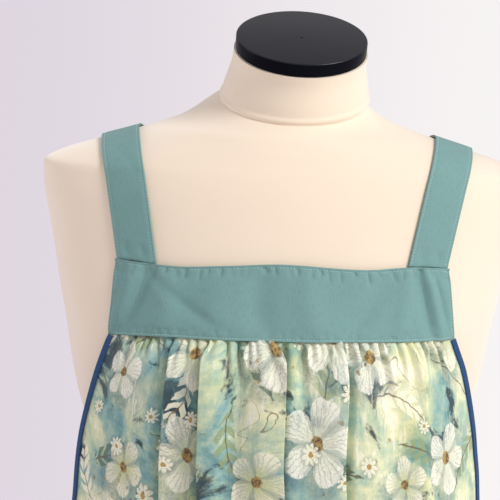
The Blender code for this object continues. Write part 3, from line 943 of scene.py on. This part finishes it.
# Soft troughs (height below 0) and ridges, as (across, up) in metres on the yoke's face,
# across from its middle and up from its bottom seam.
frontYokeCreases = [
    Crease((-0.101, 0.066), (-0.109, 0.040), (-0.125, 0.002), -0.0034, 0.0066),
    Crease((-0.115, 0.058), (-0.123, 0.036), (-0.134, 0.010), 0.0022, 0.0052),
    Crease((-0.092, 0.058), (-0.080, 0.034), (-0.092, 0.006), 0.0026, 0.0105),
    Crease((-0.102, 0.060), (-0.082, 0.041), (-0.050, 0.012), -0.0018, 0.0060),
    Crease((-0.044, 0.054), (-0.054, 0.034), (-0.047, 0.010), 0.0018, 0.0110),
    Crease((-0.014, 0.060), (-0.022, 0.034), (-0.012, 0.004), -0.0028, 0.0110),
    Crease((0.020, 0.058), (0.014, 0.032), (0.024, 0.006), 0.0022, 0.0110),
    Crease((0.082, 0.062), (0.064, 0.036), (0.046, 0.004), -0.0026, 0.0080),
    Crease((0.096, 0.058), (0.089, 0.034), (0.086, 0.006), 0.0020, 0.0070),
    Crease((0.103, 0.067), (0.107, 0.038), (0.114, 0.002), -0.0036, 0.0052),
    Crease((0.112, 0.060), (0.117, 0.036), (0.123, 0.006), 0.0024, 0.0040),
    Crease((0.119, 0.058), (0.127, 0.038), (0.131, 0.012), -0.0020, 0.0030),
]
backYokeCreases = [
    Crease((-0.101, 0.064), (-0.108, 0.036), (-0.112, 0.006), -0.0030, 0.0058),
    Crease((-0.080, 0.060), (-0.066, 0.034), (-0.049, 0.010), -0.0011, 0.0060),
    Crease((-0.124, 0.056), (-0.129, 0.034), (-0.132, 0.010), -0.0009, 0.0028),
    Crease((0.006, 0.056), (0.011, 0.034), (0.008, 0.010), -0.0012, 0.0120),
    Crease((0.058, 0.056), (0.048, 0.032), (0.044, 0.010), 0.0008, 0.0080),
    Crease((0.104, 0.064), (0.117, 0.038), (0.128, 0.004), -0.0030, 0.0058),
    Crease((0.118, 0.060), (0.128, 0.036), (0.134, 0.008), 0.0009, 0.0040),
]

# the yoke's edge lines, kept by (facing, share)
lineCache = {}


def creaseHeight(crease, across, up):
    # the depth falls off to both sides of the crease's own bent line, and past its ends
    (startX, startUp), (bendX, _), (endX, endUp) = crease.start, crease.bend, crease.end
    t = (up - startUp) / (endUp - startUp)
    past = creaseReach["pastEnds"]
    if not -past < t < 1 + past:
        return 0.0
    x = (1 - t) ** 2 * startX + 2 * t * (1 - t) * bendX + t * t * endX
    steepness = abs(endUp - startUp) / math.hypot(endX - startX, endUp - startUp)
    aside = (across - x) * steepness / crease.width
    if abs(aside) > creaseReach["widths"]:
        return 0.0
    ends = smooth((t + past) / (2 * past)) * smooth((1 + past - t) / (2 * past))
    return crease.height * ends * math.exp(-aside * aside)


def drawPuckers(seed, edgeHeight, downwards, length, depth):
    # short creases that the topstitching pulls in, all along one edge of the yoke
    draw = random.Random(seed)
    puckers = []
    at = -yoke["puckersWithin"]
    while at < yoke["puckersWithin"]:
        reach = length * draw.uniform(0.5, 1.3)
        slant = draw.uniform(-0.35, 0.35) * reach
        start = (at, edgeHeight)
        end = (at + slant, edgeHeight + downwards * reach)
        middle = ((start[0] + end[0]) / 2, (start[1] + end[1]) / 2)
        puckers.append(Crease(
            start, middle, end, -depth * draw.uniform(0.4, 1.2),
            yoke["puckerWidth"] * draw.uniform(0.7, 1.4),
        ))
        at += yoke["puckerEvery"] * draw.uniform(0.7, 1.5)
    return puckers


def groove(distance):
    return -yoke["grooveDepth"] * math.exp(-((distance / yoke["grooveWidth"]) ** 2))


def yokeFace(panel, share, up):
    # the middle of the yoke's wall at a nominal height above its seam, and the way out of it
    facing, creases = panel["facing"], panel["creases"]
    line = lineCache.setdefault((facing, share), between(panel["lines"], share))
    height = garment["yokeTop"] - garment["yokeBottom"]
    z = garment["yokeBottom"] + up + line.bottom + up / height * (line.top - line.bottom)
    section = between(torsoSections, z)
    ends = between(yokeEnds, z)
    across = share * ends.halfWidth
    angle = share * math.asin(ends.halfWidth / section.halfWidth)
    angle += math.radians(ends.twist) * panel["twisted"]
    outward = ringOutward(section, angle, facing)
    raised = smooth((1 - abs(share)) / yoke["raisedFrom"])
    lift = garment["offForm"] + raised * (yoke["offForm"] - garment["offForm"])
    seen = across * facing
    for crease in creases:
        lift += creaseHeight(crease, seen, up)
    lift += groove(height - up - yoke["stitchIn"]) + groove(up - yoke["bottomStitchIn"])
    lift += groove((1 - abs(share)) * ends.halfWidth - yoke["stitchIn"])
    lift = max(lift, garment["doubleCloth"] / 2 + garment["leastOffForm"])
    return ringPoint(section, angle, facing) + outward * lift, outward, across


def makeYoke(name, node, panel):
    def place(share, up):
        point, _, across = yokeFace(panel, share, up)
        return point, (across, up)

    piece = addPiece(
        name, clothGrid(spaced(yoke["columns"]), spaced(yoke["rows"]), place), tealCloth,
        [node], "sewn",
    )
    addCloth(piece, garment["doubleCloth"], yoke["rounding"])
    height = garment["yokeTop"] - garment["yokeBottom"]

    side = 1 - yoke["stitchIn"] / yoke["halfWidth"]
    low, high = yoke["bottomStitchIn"], height - yoke["stitchIn"]
    shares = spaced([(-side, 0), (side, yoke["acrossStitches"])])
    heights = spaced([(low, 0), (high, yoke["upStitches"])])
    paths = [[(share, up) for share in shares] for up in (high, low)]
    paths += [[(share, up) for up in heights] for share in (-side, side)]
    runs = [
        [onFace(*yokeFace(panel, share, up)[:2], garment["doubleCloth"]) for share, up in path]
        for path in paths
    ]
    addStitches(name + "_stitches", runs, tealThread)


print("yokes")
for creases, topSeed, bottomSeed in ((frontYokeCreases, 5, 6), (backYokeCreases, 7, 8)):
    depth = yoke["puckerDepth"]
    creases += drawPuckers(topSeed, yoke["topPuckersAt"], -1, yoke["topPuckerLength"], depth)
    depth *= yoke["bottomPuckerShare"]
    creases += drawPuckers(bottomSeed, yoke["bottomPuckersAt"], 1, yoke["bottomPuckerLength"], depth)
frontYoke = {"facing": 1, "lines": frontLines, "twisted": 1, "creases": frontYokeCreases}
backYoke = {"facing": -1, "lines": backLines, "twisted": 0, "creases": backYokeCreases}
makeYoke("yoke_front", "front_yoke", frontYoke)
makeYoke("yoke_back", "back_yoke", backYoke)


# The straps

strap = {
    "width": 0.033, "widthOnShoulder": 0.0314, "atYoke": {-1: 0.1180, 1: 0.1190},
    "atShoulder": {-1: 0.1388, 1: 0.1428}, "rows": 190, "slope": 0.30, "traceSteps": 90,
    "columns": [(-0.5, 0), (-0.38, 7), (0.38, 14), (0.5, 7)], "stitchIn": 0.0024,
    "rounding": 0.0006, "edgeOfShoulder": 1.341, "halvings": 40, "slopeSpan": 0.02,
    "slopeFrom": 0.3,
}

# Small dents, as (across from the strap's middle, up from its seam): troughs and ridges.
strapCreases = [
    Crease((-0.007, 0.004), (-0.008, 0.009), (-0.006, 0.015), -0.0010, 0.0030),
    Crease((0.006, 0.003), (0.0075, 0.008), (0.006, 0.013), -0.0010, 0.0030),
    Crease((-0.013, 0.030), (-0.004, 0.038), (0.006, 0.052), -0.0006, 0.0040),
    Crease((0.012, 0.070), (0.004, 0.082), (-0.003, 0.100), -0.0005, 0.0045),
    Crease((-0.010, 0.108), (-0.002, 0.118), (0.010, 0.124), -0.0006, 0.0040),
]


def shoulderHeight(x):
    # the height of the shoulder's crest this far from the middle
    low, high = strap["edgeOfShoulder"], torsoSections[-1].z
    for _ in range(strap["halvings"]):
        middle = (low + high) / 2
        if between(torsoSections, middle).halfWidth > x:
            low = middle
        else:
            high = middle
    return low


def turnsOver(first, second, third):
    into, out = second - first, third - second
    return into.y * out.z - into.z * out.y < 0


def yokeTopAt(panel, x):
    # the height of the yoke's top edge this far from the middle
    halfWidth = between(torsoSections, garment["yokeTop"]).halfWidth
    ends = yokeEnds[-1]
    angle = math.asin(x / halfWidth) - math.radians(panel["twisted"] * ends.twist)
    share = angle / math.asin(ends.halfWidth / halfWidth)
    return garment["yokeTop"] + between(panel["lines"], share).top


def strapRise(across, side, panel):
    # a line of the strap from the yoke up to the shoulder's crest, on the form
    atYoke = strap["atYoke"][side] + across * strap["width"]
    atShoulder = strap["atShoulder"][side] + across * strap["widthOnShoulder"]
    crest = shoulderHeight(atShoulder)
    bottom = yokeTopAt(panel, side * atYoke) + garment["seamGap"] / 2
    rise = []
    for step in range(strap["traceSteps"] + 1):
        turnedOver = step / strap["traceSteps"]
        t = math.sin(math.pi / 2 * turnedOver)
        section = between(torsoSections, bottom + t * (crest - bottom))
        x = atYoke + (t + turnedOver) / 2 * (atShoulder - atYoke)
        inner = math.sqrt(max(0.0, 1 - (x / section.halfWidth) ** 2))
        depth = -section.front if panel["facing"] > 0 else section.back
        rise.append(Vector((x, inner * depth, section.z)))
    return rise


def overShoulder(across, side):
    # a line of the strap, drawn tight over the shoulder from the front yoke to the back
    tight = []
    for point in strapRise(across, side, frontYoke) + strapRise(across, side, backYoke)[-2::-1]:
        while len(tight) > 1 and not turnsOver(tight[-2], tight[-1], point):
            tight.pop()
        tight.append(point)
    return tight


def lineLengths(line):
    return [(end - start).length for start, end in zip(line, line[1:])]


def pointAlong(line, lengths, share):
    wanted = share * sum(lengths)
    for start, end, length in zip(line, line[1:], lengths):
        if wanted <= length:
            return start.lerp(end, wanted / length)
        wanted -= length
    return line[-1].copy()


def makeStrap(name, node, side):
    lines = {}

    def face(across, up):
        if across not in lines:
            line = overShoulder(across, side)
            lines[across] = (line, lineLengths(line))
        line, lengths = lines[across]
        point = pointAlong(line, lengths, up)
        before = pointAlong(line, lengths, max(0.0, up - strap["slopeSpan"]))
        after = pointAlong(line, lengths, min(1.0, up + strap["slopeSpan"]))
        alongLine = (after - before).normalized()
        outward = Vector((0.0, -alongLine.z, alongLine.y))
        level = smooth((outward.z - strap["slopeFrom"]) / (1 - strap["slopeFrom"]))
        outward += Vector((strap["slope"] * level, 0.0, 0.0))
        outward.normalize()
        total = sum(lengths)
        fromEnd = min(up, 1 - up) * total
        lift = garment["offForm"]
        seen = across * strap["width"] * side
        for crease in strapCreases:
            lift += creaseHeight(crease, seen, fromEnd)
        lift += groove((0.5 - abs(across)) * strap["width"] - strap["stitchIn"])
        lift = max(lift, garment["doubleCloth"] / 2 + garment["leastOffForm"])
        point += outward * lift
        if up in (0.0, 1.0):
            point.z = line[-1 if up else 0].z
        point.x *= side
        outward.x *= side
        return point, outward, total

    def place(across, up):
        point, _, total = face(across, up)
        return point, (across * strap["width"], up * total)

    rows = spaced([(0.0, 0), (1.0, strap["rows"])])
    piece = addPiece(
        name, clothGrid(spaced(strap["columns"]), rows, place), tealCloth, [node],
        "sewn",
    )
    addCloth(piece, garment["doubleCloth"], strap["rounding"])
    _, _, length = face(0.0, 0.5)
    inset = 0.5 - strap["stitchIn"] / strap["width"]
    runs = [
        [onFace(*face(edge, up)[:2], garment["doubleCloth"]) for up in rows[1:-1]]
        for edge in (-inset, inset)
    ]
    addStitches(name + "_stitches", runs, tealThread)


print("straps")
makeStrap("strap_cloth_left", "strap_left", -1)
makeStrap("strap_cloth_right", "strap_right", 1)


# The skirts

skirt = {
    "drops": [(0.0, 0), (0.008, 9), (0.040, 24), (0.100, 22), (0.230, 22), (0.690, 34), (0.710, 7)],
    "columns": 400, "samples": 4000, "closer": 2.6, "closerWithin": 0.9, "halfTop": 0.150,
    "seamPull": 0.0012, "seamPullOver": 0.005, "tuckInYoke": 0.0010, "seamLineFade": 0.15,
    "puff": 0.0053, "puffAtTop": 0.30, "puffLessAtSides": 0.6, "puffRise": 0.008,
    "puffFrom": 0.010, "puffFade": 0.070, "foldDip": 0.0085, "valley": 0.055,
    "calmFrom": 0.80, "calmOver": 0.16, "waves": 5, "waveHeight": 0.008, "wavesAside": 0.8,
    "wavesFrom": 0.05, "wavesOver": 0.65, "foldAtTop": 0.12, "foldGrowsOver": 0.014,
    "foldChangesFrom": 0.10, "foldChangesOver": 0.60, "leanFades": 0.08,
    "hemTurn": 0.018, "hemStep": 0.0005, "hemStepFrom": 0.001, "hemStepOver": 0.0012,
    "hemStitches": 420, "hemStitchesTo": 0.995,
    "flat": (0.71, 0.73), "armholesCut": 0.055,
}

# A long fold: its line as a share of the panel's half width, its height, which way its steep
# side faces (1 to the right), the widths of its steep and its soft side, how far its edge
# leans over and its foot is tucked under, and how much of it reaches the hem.
frontFolds = [
    Fold(-0.555, 0.0056, -1, 0.020, 0.14, 0.0018, 0.0018, 1.3),
    Fold(-0.362, 0.0104, -1, 0.017, 0.16, 0.0056, 0.0056, 1.2),
    Fold(-0.040, 0.0120, 1, 0.016, 0.22, 0.0074, 0.0074, 1.2),
    Fold(0.287, 0.0056, 1, 0.016, 0.16, 0.0022, 0.0022, 1.4),
    Fold(0.70, 0.0045, 1, 0.050, 0.16, 0.0000, 0.0000, 1.5),
]
backFolds = [
    Fold(-0.55, 0.0070, -1, 0.028, 0.20, 0.0022, 0.0020, 1.3),
    Fold(-0.12, 0.0080, 1, 0.026, 0.24, 0.0030, 0.0030, 1.3),
    Fold(0.30, 0.0070, -1, 0.028, 0.20, 0.0022, 0.0020, 1.2),
    Fold(0.68, 0.0050, 1, 0.045, 0.16, 0.0000, 0.0000, 1.4),
]
Gather = namedtuple("Gather", "line depth width widen length slant")
Sway = namedtuple("Sway", "line height width begins slant")

# The short gathers under the yoke, and the soft swells that hang between the folds: the
# ranges that each one's numbers are drawn from.
gathers = {
    "first": -0.975, "last": 0.98, "span": 1.95, "pitch": (0.68, 1.34), "depth": (0.0046, 0.0088),
    "width": (0.0022, 0.0036), "widen": (0.05, 0.14), "slant": (-0.9, 0.9),
    "lengths": [0.014, 0.020, 0.028, 0.040, 0.064], "atTop": 0.30, "growsOver": 0.006,
}
sways = {
    "first": -0.92, "span": 1.84, "aside": (-0.3, 0.3), "height": (0.0008, 0.0026),
    "towards": [-1, 1, 1], "width": (0.030, 0.085), "begins": (0.0, 0.05), "slant": (-0.08, 0.08),
    "growsOver": 0.09, "widths": 2.5,
}


def drawGathers(seed, count):
    draw = random.Random(seed)
    drawn = []
    at = gathers["first"]
    pitch = gathers["span"] / count
    while at < gathers["last"]:
        drawn.append(Gather(
            at, draw.uniform(*gathers["depth"]), draw.uniform(*gathers["width"]),
            draw.uniform(*gathers["widen"]), draw.choice(gathers["lengths"]),
            draw.uniform(*gathers["slant"]),
        ))
        at += pitch * draw.uniform(*gathers["pitch"])
    return drawn


def drawSways(seed, count):
    draw = random.Random(seed)
    return [
        Sway(
            sways["first"] + sways["span"] * (number + draw.uniform(*sways["aside"])) / (count - 1),
            draw.uniform(*sways["height"]) * draw.choice(sways["towards"]),
            draw.uniform(*sways["width"]), draw.uniform(*sways["begins"]),
            draw.uniform(*sways["slant"]),
        )
        for number in range(count)
    ]


front = {
    "facing": 1, "folds": frontFolds, "seed": 0.0, "lines": frontLines, "twisted": 1,
    "gathers": drawGathers(21, 42), "sways": drawSways(22, 13),
}
back = {
    "facing": -1, "folds": backFolds, "seed": 2.6, "lines": backLines, "twisted": 0,
    "gathers": drawGathers(31, 38), "sways": drawSways(32, 12),
}


def gatherLift(panel, share, drop):
    atTop = skirt["puffAtTop"] * (1 - skirt["puffLessAtSides"] * share * share)
    lift = skirt["puff"] * (atTop + (1 - atTop) * smooth(drop / skirt["puffRise"]))
    lift *= 1 - smooth((drop - skirt["puffFrom"]) / skirt["puffFade"])
    for gather in panel["gathers"]:
        if drop >= gather.length:
            continue
        aside = abs(share - gather.line - gather.slant * drop) * skirt["halfTop"]
        width = gather.width + gather.widen * drop
        if aside < width:
            grow = gathers["atTop"] + (1 - gathers["atTop"]) * smooth(drop / gathers["growsOver"])
            fade = 1 - smooth(drop / gather.length)
            lift -= gather.depth * grow * fade * (1 - smooth(aside / width))
    return lift


def swayLift(panel, share, drop):
    lift = 0.0
    for sway in panel["sways"]:
        aside = (share - sway.line - sway.slant * drop) / sway.width
        if abs(aside) < sways["widths"]:
            grow = smooth((drop - sway.begins) / sways["growsOver"])
            lift += sway.height * grow * math.exp(-aside * aside)
    return lift


def foldLift(fold, share, drop):
    # the fold's lift and its lean to the side
    along = (fold.line - share) * fold.faces
    grow = skirt["foldAtTop"] + (1 - skirt["foldAtTop"]) * smooth(drop / skirt["foldGrowsOver"])
    down = smooth((drop - skirt["foldChangesFrom"]) / skirt["foldChangesOver"])
    height = fold.height * grow * (1.0 + (fold.atHem - 1.0) * down)
    if along >= 0:
        lift = 1 - smooth(along / fold.soft)
        lean = fold.lean * (1 - smooth(along / skirt["leanFades"]))
        return height * lift, fold.faces * lean * grow
    t = -along / fold.steep
    if t < 1:
        lean = fold.lean - (fold.lean + fold.tuck) * smooth(t)
        return height * (1 - smooth(t)), fold.faces * lean * grow
    fading = 1 - smooth((-along - fold.steep) / skirt["valley"])
    dip = skirt["foldDip"] if fold.tuck else 0.0
    return -dip * grow * fading, -fold.faces * fold.tuck * fading * grow


# what the tables say of each row of the skirts, kept by its height
rowCache = {}
hemHeight = garment["yokeBottom"] - garment["seamGap"] - skirt["drops"][-1][0]


def skirtPoint(panel, share, z):
    # the middle of the skirt's wall, by its share of the panel's half width and its height
    if z not in rowCache:
        rowCache[z] = between(panelEdges, z), between(clothPerAngle, z).metres
    edge, perAngle = rowCache[z]
    line = lineCache.setdefault((panel["facing"], share), between(panel["lines"], share))
    drop = garment["yokeBottom"] - z
    top = panelEdges[-1].angle
    degrees = share * top + share**3 * (edge.fan - top) + share**13 * (edge.angle - edge.fan)
    angle = math.radians(degrees + panel["twisted"] * edge.twist)
    z += line.bottom * (1 - smooth(drop / skirt["seamLineFade"]))
    section = between(hangSections, z)
    point = ringPoint(section, angle, panel["facing"])
    outward = ringOutward(section, angle, panel["facing"])
    aside = Vector((-outward.y, outward.x, 0.0)) * panel["facing"]
    drop = max(0.0, drop)
    lift = gatherLift(panel, share, drop) + swayLift(panel, share, drop)
    lean, hidden = 0.0, 0.0
    for fold in panel["folds"]:
        foldUp, foldAside = foldLift(fold, share, drop)
        lift += foldUp
        lean += foldAside
        passed = (share - fold.line) * fold.faces / fold.steep
        hidden += fold.faces * 2 * (fold.lean + fold.tuck) * smooth(passed)
        if fold.faces < 0:
            hidden += 2 * (fold.lean + fold.tuck)
    wave = math.sin(math.pi * skirt["waves"] * share + skirt["wavesAside"] + panel["seed"])
    lift += skirt["waveHeight"] * wave * smooth((drop - skirt["wavesFrom"]) / skirt["wavesOver"])
    atSides = 1.0 - smooth((abs(share) - skirt["calmFrom"]) / skirt["calmOver"])
    lift *= atSides
    lift -= skirt["seamPull"] * (1 - smooth(drop / skirt["seamPullOver"]))
    fromTurning = z - hemHeight - skirt["hemTurn"]
    onHem = 1 - smooth((fromTurning + skirt["hemStepFrom"]) / skirt["hemStepOver"])
    lift += skirt["hemStep"] * onHem
    point += outward * lift + aside * lean * atSides
    point.z = z
    return point, outward, (panel["facing"] * (angle * perAngle + hidden) + panel["seed"], -drop)


def columnShares(panel, count):
    # closer columns where a fold turns over
    samples = skirt["samples"]
    reached = [0.0]
    for sample in range(samples):
        share = -1 + 2 * (sample + 0.5) / samples
        dense = 1.0
        for fold in panel["folds"]:
            if fold.tuck:
                middle = fold.line + fold.faces * fold.steep / 2
                away = (share - middle) / (fold.steep * skirt["closerWithin"])
                dense += skirt["closer"] * math.exp(-(away ** 2))
        reached.append(reached[-1] + dense)
    shares, sample = [], 0
    for column in range(count + 1):
        wanted = reached[-1] * column / count
        while sample < samples and reached[sample] < wanted:
            sample += 1
        shares.append(-1 + 2 * sample / samples)
    return shares


def makeSkirt(name, node, panel):
    sideGap = garment["seamGap"] / 2
    top = garment["yokeBottom"] - garment["seamGap"]

    def place(share, drop):
        z = top - drop
        if drop == 0.0:
            z = garment["yokeBottom"] + skirt["tuckInYoke"]
        point, _, flat = skirtPoint(panel, share, z)
        if abs(point.y) < sideGap:
            point.y = -panel["facing"] * sideGap
        return point, flat

    drops = spaced(skirt["drops"])[::-1]
    built = clothGrid(columnShares(panel, skirt["columns"]), drops, place)
    piece = addPiece(name, built, printCloth, [node], "gathered")
    addCloth(piece, garment["singleCloth"])
    turned, end = hemHeight + skirt["hemTurn"], skirt["hemStitchesTo"]
    hemRun = [
        onFace(*skirtPoint(panel, share, turned)[:2], garment["singleCloth"])
        for share in spaced([(-end, 0), (end, skirt["hemStitches"])])
    ]
    addStitches(name + "_hem_stitches", [hemRun], printThread)


print("skirts")
makeSkirt("skirt_front", "front_skirt", front)
makeSkirt("skirt_back", "back_skirt", back)


# The armhole bindings

binding = {
    "width": 0.0065, "cloth": 0.0009, "gap": 0.0006, "gapUnderArm": 0.0012,
    "turnsDown": 0.030, "corner": 0.0004, "nextColumn": 1 - 2 / 84, "flatWidth": 0.016,
    "rows": [(0.0, 0), (0.85, 60), (0.97, 24), (1.0, 14)], "foldSteps": 12,
    "tangentSpan": 0.002, "underArmFrom": 0.020, "underArmOver": 0.012, "flatPerStep": 0.0007,
    "legEnds": 0.6, "foldCentre": 0.55, "cornerCut": 0.3,
}


def bindingProfile(inner, outer):
    # (inwards, outwards) from the cloth's edge, once round the folded strip's section
    gap, cloth = garment["seamGap"], binding["cloth"]
    legEnd, corner = binding["width"] - cloth, binding["corner"]
    cut, centre = corner * binding["cornerCut"], outer * binding["foldCentre"]
    leg = [
        (legEnd, inner), (legEnd, inner + corner), (legEnd - cut, outer - cut),
        (legEnd - corner, outer),
    ]
    stops = [(legEnd - 2 * corner, 0), (outer * binding["legEnds"], 6)]
    run = [(place, outer) for place in spaced(stops)]
    turns = [math.pi * step / binding["foldSteps"] for step in range(1, binding["foldSteps"])]
    fold = [
        (centre - (centre + gap + cloth) * math.sin(turn), outer * math.cos(turn)) for turn in turns
    ]
    inside = [(-gap, -inner), (-gap, inner)]
    half = leg + run
    mirrored = [(place, -height) for place, height in half[::-1]]
    return half + fold + mirrored + inside


def bindingFrame(panel, side, z):
    # a point of the armhole's edge, with the ways into the cloth and out of it
    edge, _, _ = skirtPoint(panel, side, z)
    lower = binding["width"] * smooth((garment["yokeBottom"] - z) / binding["turnsDown"])
    innerCloth, _, _ = skirtPoint(panel, side * binding["nextColumn"], z - lower)
    if z <= garment["armholeBottom"] + garment["seamGap"]:
        edge.y = 0.0
        return edge, Vector((0.0, 0.0, -1.0)), Vector((side, 0.0, 0.0))
    above, _, _ = skirtPoint(panel, side, min(z + binding["tangentSpan"], garment["yokeBottom"]))
    below, _, _ = skirtPoint(panel, side, z - binding["tangentSpan"])
    alongEdge = (above - below).normalized()
    outward = alongEdge.cross(innerCloth - edge).normalized()
    if outward.x * side + outward.y * edge.y < 0:
        outward.negate()
    inward = outward.cross(alongEdge)
    if inward.dot(innerCloth - edge) < 0:
        inward.negate()
    return edge, inward, outward


def makeBinding(name, node, side):
    depth = garment["yokeBottom"] - garment["armholeBottom"]
    down = spaced(binding["rows"])
    stops = [(front, share) for share in down] + [(back, share) for share in down[-2::-1]]
    frames = []
    for panel, share in stops:
        z = garment["yokeBottom"] - garment["seamGap"] - share * depth
        z = max(z, garment["armholeBottom"])
        frames.append((z, bindingFrame(panel, side, z)))
    reached = [0.0]
    for (_, first), (_, second) in zip(frames, frames[1:]):
        reached.append(reached[-1] + (second[0] - first[0]).length)
    profiles = []
    for z, _ in frames:
        above = z - garment["armholeBottom"]
        underArm = smooth((binding["underArmFrom"] - above) / binding["underArmOver"])
        inner = garment["singleCloth"] / 2 + binding["gap"]
        inner += underArm * (binding["gapUnderArm"] - binding["gap"])
        profiles.append(bindingProfile(inner, inner + binding["cloth"]))
    around = len(profiles[0])

    def place(step, row):
        _, (edge, inward, outward) = frames[row]
        inwards, outwards = profiles[row][step % around]
        flat = (step * binding["flatPerStep"], reached[row])
        return edge + inward * inwards + outward * outwards, flat

    built = clothGrid(list(range(around + 1)), list(range(len(frames))), place)
    closeTube(built)
    piece = addPiece(name, built, navyCloth, [node], "sewn")


print("bindings")
makeBinding("binding_left", "armhole_binding_left", -1)
makeBinding("binding_right", "armhole_binding_right", 1)


# Floor, light and camera

studio = {
    # the floor's two colours and where it brightens are painted light: darker at the picture's left,
    # brighter at its right
    "floorReach": 90.0, "floorSeenFrom": 5.7, "brightensFrom": -0.12, "brightAt": 0.13,
    "floorLeftPaintedShade": paint(229, 222, 229), "floorRightPaintedLight": paint(255, 253, 250), "uneven": 0.05,
    "world": paint(246, 243, 248), "worldStrength": 0.56,
    "sunStrength": 2.08, "sunSoftness": math.radians(22), "sunFrom": Vector((0.70, -0.52, 0.76)),
}
# small lamps by the right shoulder and at the left side
lamps = {
    "right": {
        "at": Vector((0.62, -0.42, 1.78)), "towards": Vector((0.10, 0.0, 1.32)),
        "size": 0.35, "power": 1.1,
    },
    "left": {
        "at": Vector((-1.0, 0.10, 1.44)), "towards": Vector((0.0, 0.0, 1.25)),
        "size": 0.45, "power": 2.1,
    },
}
camera = {
    "at": Vector((-0.02615, -1.78016, 1.51940)), "downwards": math.radians(8.0),
    "roll": math.radians(2.0), "lens": 151.2, "sensor": 36.0, "clipEnd": 240.0,
}


def makeFloor():
    built = bmesh.new()
    bmesh.ops.create_grid(built, x_segments=1, y_segments=1, size=studio["floorReach"])
    mesh = meshFrom("floor", built)
    finish = Finish("floorPaperWithPaintedLight", Roughness=0.95)
    # painted light: the floor's colour is brighter towards the right of the picture, at any distance
    # from the camera, with a wobbly edge
    x, y, _ = finish.parts(finish.onObject())
    lightEdgeWobble = finish.noise(finish.onObject(), 3.0, 3.0, 0.5)
    away = finish.maths("MAXIMUM", y - camera["at"].y, studio["floorSeenFrom"])
    across = (x + lightEdgeWobble * studio["uneven"]) / away
    paintedLightTowardsRight = finish.step(across, studio["brightensFrom"], studio["brightAt"])
    finish.feed("Base Color", finish.mix(paintedLightTowardsRight, studio["floorLeftPaintedShade"], studio["floorRightPaintedLight"]))
    mesh.materials.append(finish.material)
    addObject("floor", mesh)


def makeLight():
    world = bpy.data.worlds.new("studio")
    world.use_nodes = True
    sky = world.node_tree.nodes["Background"]
    sky.inputs["Color"].default_value = studio["world"]
    sky.inputs["Strength"].default_value = studio["worldStrength"]
    bpy.context.scene.world = world

    light = bpy.data.lights.new("key", "SUN")
    light.energy = studio["sunStrength"]
    light.angle = studio["sunSoftness"]
    key = addObject("key", light)
    key.matrix_world = studio["sunFrom"].to_track_quat("Z", "Y").to_matrix().to_4x4()

    for side, values in lamps.items():
        lamp = bpy.data.lights.new("fill_" + side, "AREA")
        lamp.energy = values["power"]
        lamp.size = values["size"]
        fill = addObject("fill_" + side, lamp)
        turn = (values["at"] - values["towards"]).to_track_quat("Z", "Y").to_matrix().to_4x4()
        fill.matrix_world = Matrix.Translation(values["at"]) @ turn
        fill.visible_camera = False


def makeCamera():
    lens = bpy.data.cameras.new("camera")
    lens.lens = camera["lens"]
    lens.sensor_width = camera["sensor"]
    lens.clip_end = camera["clipEnd"]
    viewer = addObject("camera", lens)
    tilt = Matrix.Rotation(math.pi / 2 - camera["downwards"], 4, "X")
    roll = Matrix.Rotation(camera["roll"], 4, "Z")
    viewer.matrix_world = Matrix.Translation(camera["at"]) @ tilt @ roll
    bpy.context.scene.camera = viewer


print("floor, light and camera")
makeFloor()
makeLight()
makeCamera()
bpy.context.scene.view_settings.view_transform = "Standard"
